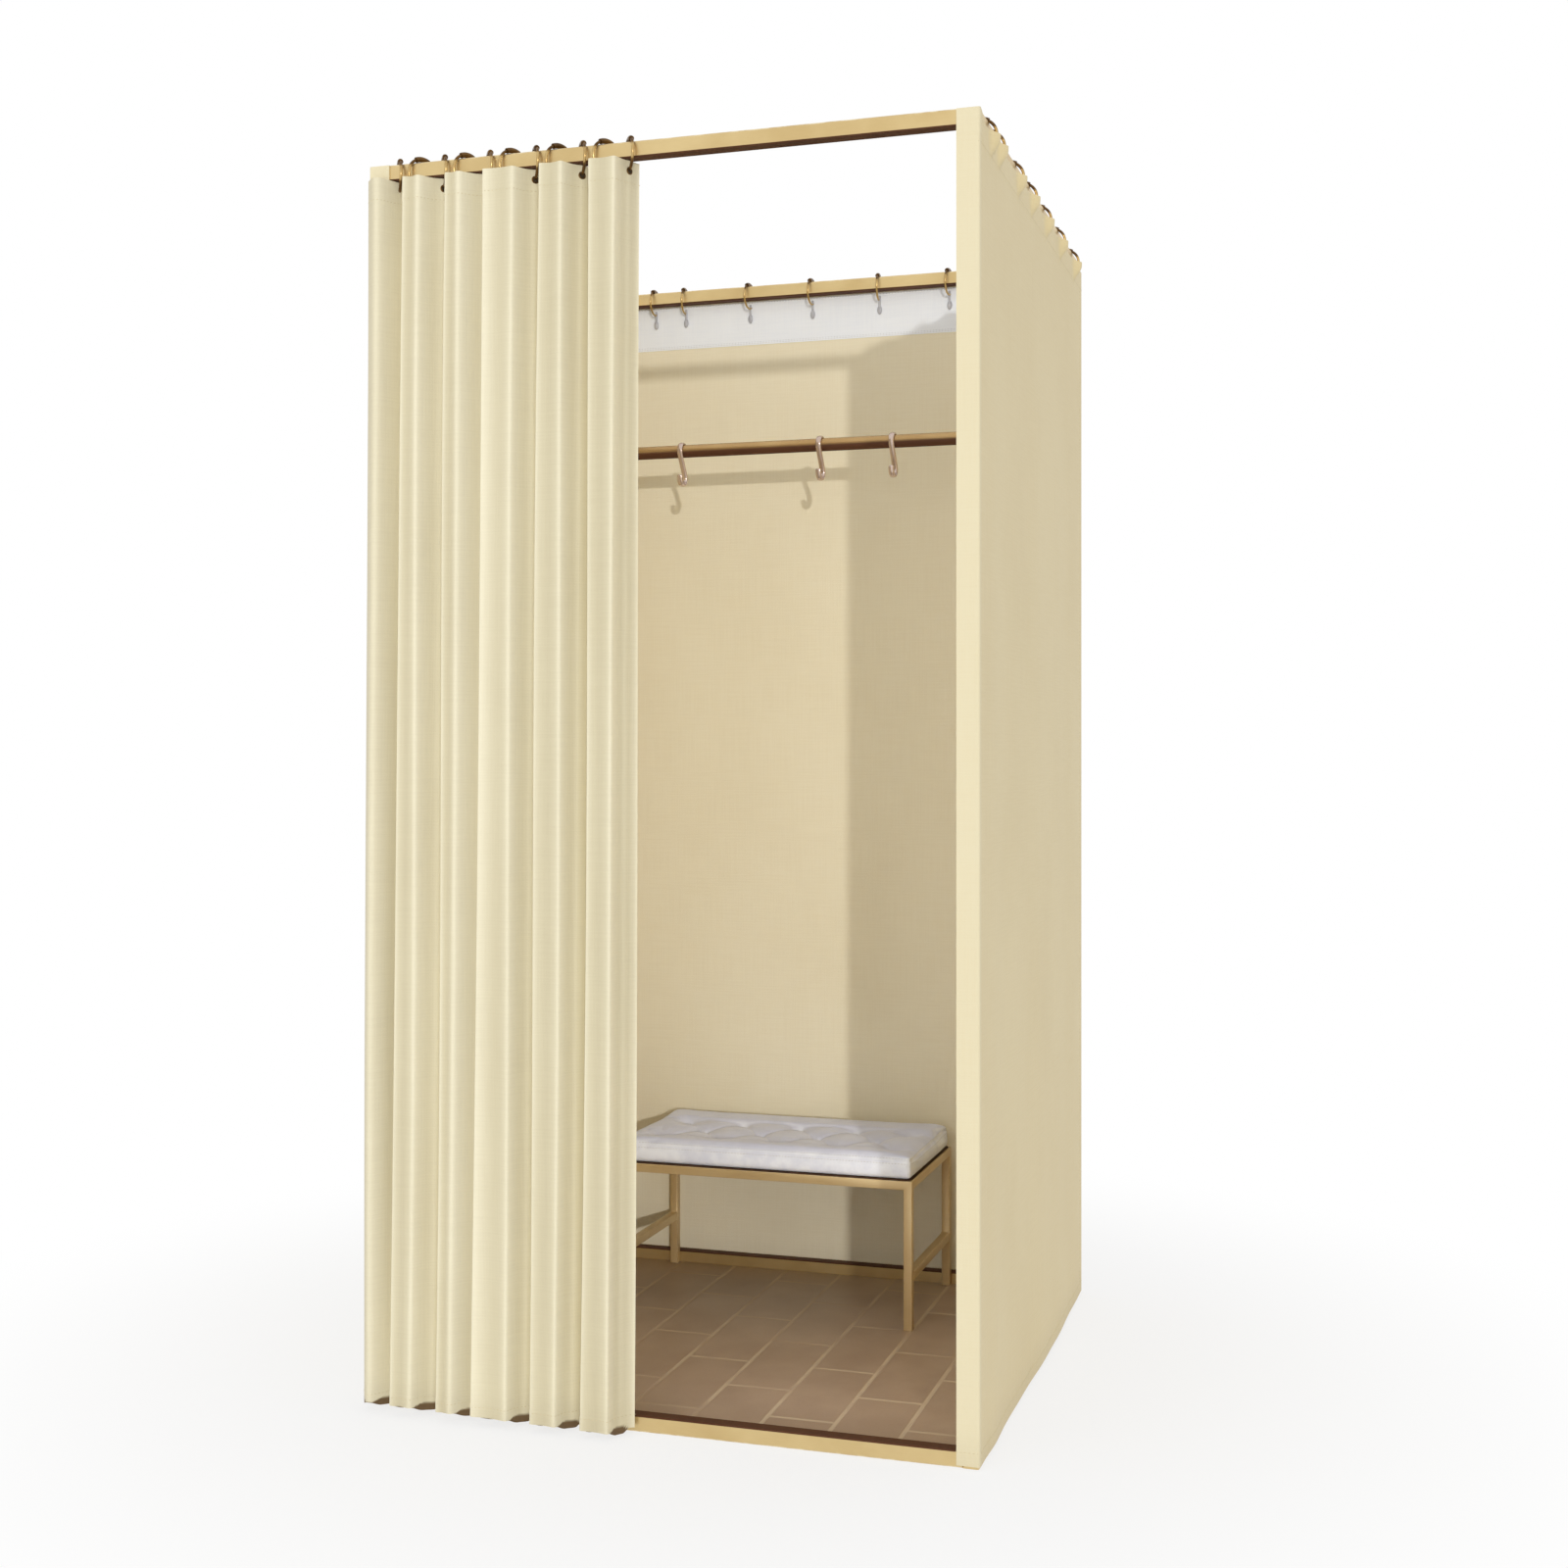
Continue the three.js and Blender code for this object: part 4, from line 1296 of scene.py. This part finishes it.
# %% Boxes with rounded edges
def bevelled_box(name, low, high, *bevels):
    """A box between two corners. A bevel says which edges, how wide, how many steps, how full."""
    work = bmesh.new()
    bmesh.ops.create_cube(work, size=1.0)
    for vert in work.verts:
        vert.co = Vector([low[k] if vert.co[k] < 0 else high[k] for k in range(3)])
    for chosen, width, steps, full in bevels:
        edges = [edge for edge in work.edges if chosen(edge)]
        bmesh.ops.bevel(work, geom=edges, offset=width, segments=steps, profile=full, affect="EDGES")
    mesh = bpy.data.meshes.new(name)
    work.to_mesh(mesh)
    work.free()
    return mesh


def any_edge(edge):
    return True


def upright(edge):
    return abs(edge.verts[0].co.z - edge.verts[1].co.z) > 0.001


# %% Seat board
pad_low, pad_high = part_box("bench_cushion")
BOARD, inset = 0.0020, 0.002
board_low = pad_low.x + inset, pad_low.y + inset, pad_low.z
board_high = pad_high.x - inset, pad_high.y - inset, pad_low.z + BOARD
board_bevels = (upright, 0.012, 6, 0.5), (any_edge, 0.0005, 2, 0.5)
board_mesh = bevelled_box("seat_board", board_low, board_high, *board_bevels)
smooth(board_mesh, 30)
board = new_object("seat_board", board_mesh, board_dark)
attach(board, "bench")
print("board", round(BOARD * 1000, 1), "mm thick")

# %% [markdown]
# ## The tufted cushion
#
# The cushion is a foam slab in soft pale cloth. Buttons pull its top down in staggered
# rows, and soft creases run between them. The slab starts a little small, and a cloth
# simulation with pressure inside swells it against the pinned buttons and the flat base.
# The creases, the seam and the stitches come after that, because remeshing would lose
# them.

# %% Cushion sizes and buttons
pad_low.z += BOARD
pad_middle = (pad_low + pad_high) / 2
rows_y = [0.205, 0.280, 0.355]
front_row = [-0.262, -0.147, -0.032, 0.083, 0.198]
middle_row = [-0.205, -0.090, 0.025, 0.140]
buttons = [(x, y) for y, row in zip(rows_y, (front_row, middle_row, front_row)) for x in row]
print("cushion", [round(v * 1000) for v in pad_high - pad_low], "mm, buttons", len(buttons))


# %% Points of a mesh as an array
def coords(mesh):
    flat = np.zeros(len(mesh.vertices) * 3, np.float32)
    mesh.vertices.foreach_get("co", flat)
    return flat.reshape(-1, 3).astype(float)


def set_coords(mesh, points):
    mesh.vertices.foreach_set("co", points.astype(np.float32).ravel())
    mesh.update()


def button_gap(points):
    """The distance of each point to the nearest button, seen from above."""
    return np.min([np.hypot(points[:, 0] - x, points[:, 1] - y) for x, y in buttons], axis=0)


# %% Slab before it swells
shrink = 0.0035
slab_low = pad_low.x + shrink, pad_low.y + shrink, pad_low.z + 0.0004
slab_high = pad_high.x - shrink, pad_high.y - shrink, pad_high.z - 0.0045
slab_mesh = bevelled_box("seat_cushion", slab_low, slab_high, (any_edge, 0.007, 4, 0.6))
cushion = new_object("seat_cushion", slab_mesh)
remesh = cushion.modifiers.new("voxels", "REMESH")
remesh.mode, remesh.voxel_size = "VOXEL", 0.0045
cushion.data = plain_mesh(cushion)
cushion.modifiers.clear()
slab = coords(cushion.data)
upper = soft_step((slab[:, 2] - pad_middle.z) / 0.008)
slab[:, 2] -= 0.0075 * upper * bell(button_gap(slab), 0.011)
set_coords(cushion.data, slab)
print("slab points", len(slab))

# %% Swell the slab
SWELL_MOST = 0.005
group = cushion.vertex_groups.new(name="held")
base = np.nonzero(slab[:, 2] < pad_low.z + 0.004)[0]
knots = np.nonzero((button_gap(slab) < 0.006) & (slab[:, 2] > pad_middle.z))[0]
group.add([int(n) for n in np.concatenate([base, knots])], 1.0, "REPLACE")
cloth = cushion.modifiers.new("swell", "CLOTH")
cloth.settings.vertex_group_mass = "held"
cloth.settings.use_pressure = True
cloth.settings.uniform_pressure_force = 4.0
cloth.settings.effector_weights.gravity = 0.0
cloth.settings.quality = 6
cloth.settings.tension_stiffness = 12.0
cloth.settings.compression_stiffness = 8.0
cloth.collision_settings.use_collision = False
for number in range(1, 21):
    scene.frame_set(number)
seen = cushion.evaluated_get(bpy.context.evaluated_depsgraph_get())
move = coords(seen.to_mesh()) - slab
seen.to_mesh_clear()
cushion.modifiers.clear()
cushion.vertex_groups.clear()
scene.frame_set(1)
far = np.linalg.norm(move, axis=1, keepdims=True)
slab = slab + move * np.minimum(1.0, SWELL_MOST / np.maximum(far, 1e-9))
set_coords(cushion.data, slab)
print("swell", round(float(far.max()) * 1000, 1), "mm at most, of which", SWELL_MOST * 1000, "are kept")

# %% Finer mesh of the cushion
subdivide = cushion.modifiers.new("finer", "SUBSURF")
subdivide.levels = subdivide.render_levels = 1
cushion.data = plain_mesh(cushion)
cushion.modifiers.clear()
pad = coords(cushion.data)
print("cushion points", len(pad))


# %% Creases between the buttons
pairs = [(start, end) for number, start in enumerate(buttons) for end in buttons[number + 1:]]
creases = [pair for pair in pairs if 0.06 < math.dist(*pair) < 0.105]


def crease_gap(points):
    """The distance of each point to the nearest crease, seen from above."""
    gaps = []
    for start, end in creases:
        run = np.subtract(end, start)
        share = np.clip((points[:, :2] - start) @ run / (run @ run), 0, 1)
        gaps.append(np.linalg.norm(points[:, :2] - start - share[:, None] * run, axis=1))
    return np.min(gaps, axis=0)


top_share = soft_step((pad[:, 2] - pad_middle.z - 0.004) / 0.010)
off_crease, off_button = crease_gap(pad), button_gap(pad)
pad[:, 2] -= top_share * (0.0030 * bell(off_crease, 0.005) + 0.0030 * bell(off_crease, 0.020))
pad[:, 2] -= top_share * (0.0035 * bell(off_button, 0.009) + 0.0040 * bell(off_button, 0.022))
print("creases:", len(creases))

# %% Seam, base and size of the cushion
seam_z, seam_depth, proud = pad_high.z - 0.0125, 0.0013, 0.004
gap_x = np.minimum(pad[:, 0] - pad_low.x, pad_high.x - pad[:, 0])
gap_y = np.minimum(pad[:, 1] - pad_low.y, pad_high.y - pad[:, 1])
groove = bell(pad[:, 2] - seam_z, 0.0016) * soft_step((0.010 - np.minimum(gap_x, gap_y)) / 0.004)
across = gap_x < gap_y
pad[:, 0] += np.where(across, np.sign(pad_middle.x - pad[:, 0]) * seam_depth * groove, 0)
pad[:, 1] += np.where(across, 0, np.sign(pad_middle.y - pad[:, 1]) * seam_depth * groove)
pad[:, 0] = np.clip(pad[:, 0], pad_low.x - proud, pad_high.x + proud)
pad[:, 1] = np.clip(pad[:, 1], pad_low.y - proud, pad_high.y + proud)
pad[:, 2] = np.maximum(pad[:, 2], pad_low.z)
set_coords(cushion.data, pad)
smooth(cushion.data, 80)
print("cushion box", [round(float(v), 4) for v in (*pad.min(0), *pad.max(0))])

# %% [markdown]
# ### Soft cushion cloth
#
# The cover is short-piled and matt, pale grey with a warm cast. The pile leans one way or
# the other in soft patches, which is what makes such cloth look velvety.

# %% Cushion paint
velvet = Paint("cushion_cloth")
spot = velvet.place["Object"]
patches = velvet.noise(spot, 26.0, 3.0)
pile = velvet.noise(spot, 1600.0, 1.0)
weft = velvet.noise(velvet.stretch(spot, (260.0, 1500.0, 1500.0)), 1.0, 1.0)
# painted shade: the top gets the darker, bluer tone and the sides the whiter one
painted_shade_on_top = velvet.split(velvet.place["Normal"])[2].ramp(0.45, 0.98)
tone = velvet.mixed(painted_shade_on_top, shade(247, 249, 255), shade(211, 214, 236))
cushion_cloth = velvet.finish(
    Base_Color=velvet.mixed(patches.ramp(0.35, 0.7) * 0.4 + weft * 0.2, tone, shade(199, 202, 224)),
    Roughness=0.8 + patches * 0.12,
    Sheen_Weight=0.5,
    Sheen_Roughness=0.4,
    Normal=velvet.bumped(pile * 0.6 + weft, 0.00025),
)
cushion.data.materials.append(cushion_cloth)

# %% Buttons
graph = new_tree("buttons", Radius=0.0068)
ball_inputs = {"Segments": 20, "Rings": 12, "Radius": graph.given["Radius"]}
ball = graph.node("GeometryNodeMeshUVSphere", None, ball_inputs).outputs[0]
dome = graph.node("GeometryNodeTransform", None, {"Geometry": ball, "Scale": (1.0, 1.0, 0.42)}).outputs[0]
button_tree = end_tree(graph, on_points(graph, dome, turned=False), cushion_cloth)
top_points = pad[pad[:, 2] > pad_middle.z]
button_places = []
for x, y in buttons:
    nearest = np.argmin(np.hypot(top_points[:, 0] - x, top_points[:, 1] - y))
    button_places.append((x, y, float(top_points[nearest, 2]) + 0.0012))
knobs = run_tree("tuft_buttons", button_tree, button_places)
print("lowest button at", round(min(place[2] for place in button_places), 4), "m")


# %% Seam stitches
def around(z, step=0.004):
    """A path round the cushion's sides at one height, held against its surface."""
    level = pad[np.abs(pad[:, 2] - z) < 0.004]
    xs = np.arange(pad_low.x + 0.012, pad_high.x - 0.011, step)
    ys = np.arange(pad_low.y + 0.012, pad_high.y - 0.011, step)
    line = []
    for values, axis, sign in ((xs, 0, -1), (ys, 1, 1), (xs[::-1], 0, 1), (ys[::-1], 1, -1)):
        for value in values:
            near = level[np.abs(level[:, axis] - value) < 0.006]
            rim = sign * float(np.max(sign * near[:, 1 - axis]))
            line.append((value, rim, z) if axis == 0 else (rim, value, z))
    return line + line[:1]


seat_rows = [around(seam_z + 0.0042), around(seam_z - 0.0042)]
seat_seams = stitch_rows("seat_stitches", grey_stitches, seat_rows, **seat_stitch)
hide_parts("bench_cushion")
for piece in (cushion, knobs, seat_seams):
    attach(piece, "bench")

# %% [markdown]
# ## The mat
#
# The mat is embossed vinyl that looks like brick paving, warm brown with paler joints.
# The bricks are 112 by 250 mm and run from the doorway to the rear, each row half a brick
# ahead of the next. A Brick Texture turned a quarter gives exactly that, and the same mask
# presses the joints into the surface.

# %% Mat paint
brown = Paint("mat_vinyl")
spot = brown.place["Object"]
across, deep, _ = brown.split(spot)
plan = brown.node("ShaderNodeCombineXYZ", None, {0: deep + 0.118, 1: across - 0.024}).outputs[0]
black, white = (0.0, 0.0, 0.0, 1.0), (1.0, 1.0, 1.0, 1.0)
brick_inputs = {
    "Vector": plan, "Scale": 1.0, "Mortar Size": 0.0048, "Mortar Smooth": 0.5, "Bias": 0.0,
    "Brick Width": 0.25, "Row Height": 0.112, "Color1": black, "Color2": white,
}
brick_settings = {"offset": 0.5, "offset_frequency": 2, "squash": 1.0}
bricks = brown.node("ShaderNodeTexBrick", brick_settings, brick_inputs)
joint = Num(brown, bricks.outputs["Fac"])
patch = brown.noise(spot, 7.0, 4.0)
speck = brown.noise(spot, 420.0, 2.0)
which = brown.num("ShaderNodeSeparateColor", 0, None, {0: bricks.outputs["Color"]})
body = brown.mixed(patch.ramp(0.3, 0.7) * 0.6 + which * 0.3, shade(178, 153, 131), shade(160, 135, 114))
gritty = brown.mixed(speck.ramp(0.5, 0.8) * 0.25, body, shade(130, 106, 84))
worn_joint = joint * patch.ramp(0.3, 0.56)
mat_vinyl = brown.finish(
    Base_Color=brown.mixed(worn_joint * 0.7, gritty, shade(204, 184, 156)),
    Roughness=0.3 + patch * 0.2 + joint * 0.2,
    Normal=brown.bumped(speck * 0.25 - joint * 0.8, 0.0006),
)


# %% Mat with rounded edges
def high_edge(edge):
    return all(vert.co.z > 0.002 for vert in edge.verts)


mat_low, mat_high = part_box("floor_mat")
mat_mesh = bevelled_box("brick_mat", mat_low, mat_high, (upright, 0.006, 5, 0.5), (high_edge, 0.001, 3, 0.5))
smooth(mat_mesh, 30)
mat = new_object("brick_mat", mat_mesh, mat_vinyl)
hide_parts("floor_mat")
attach(mat, "booth")
print("mat", [round((mat_high - mat_low)[k] * 1000) for k in range(3)], "mm")
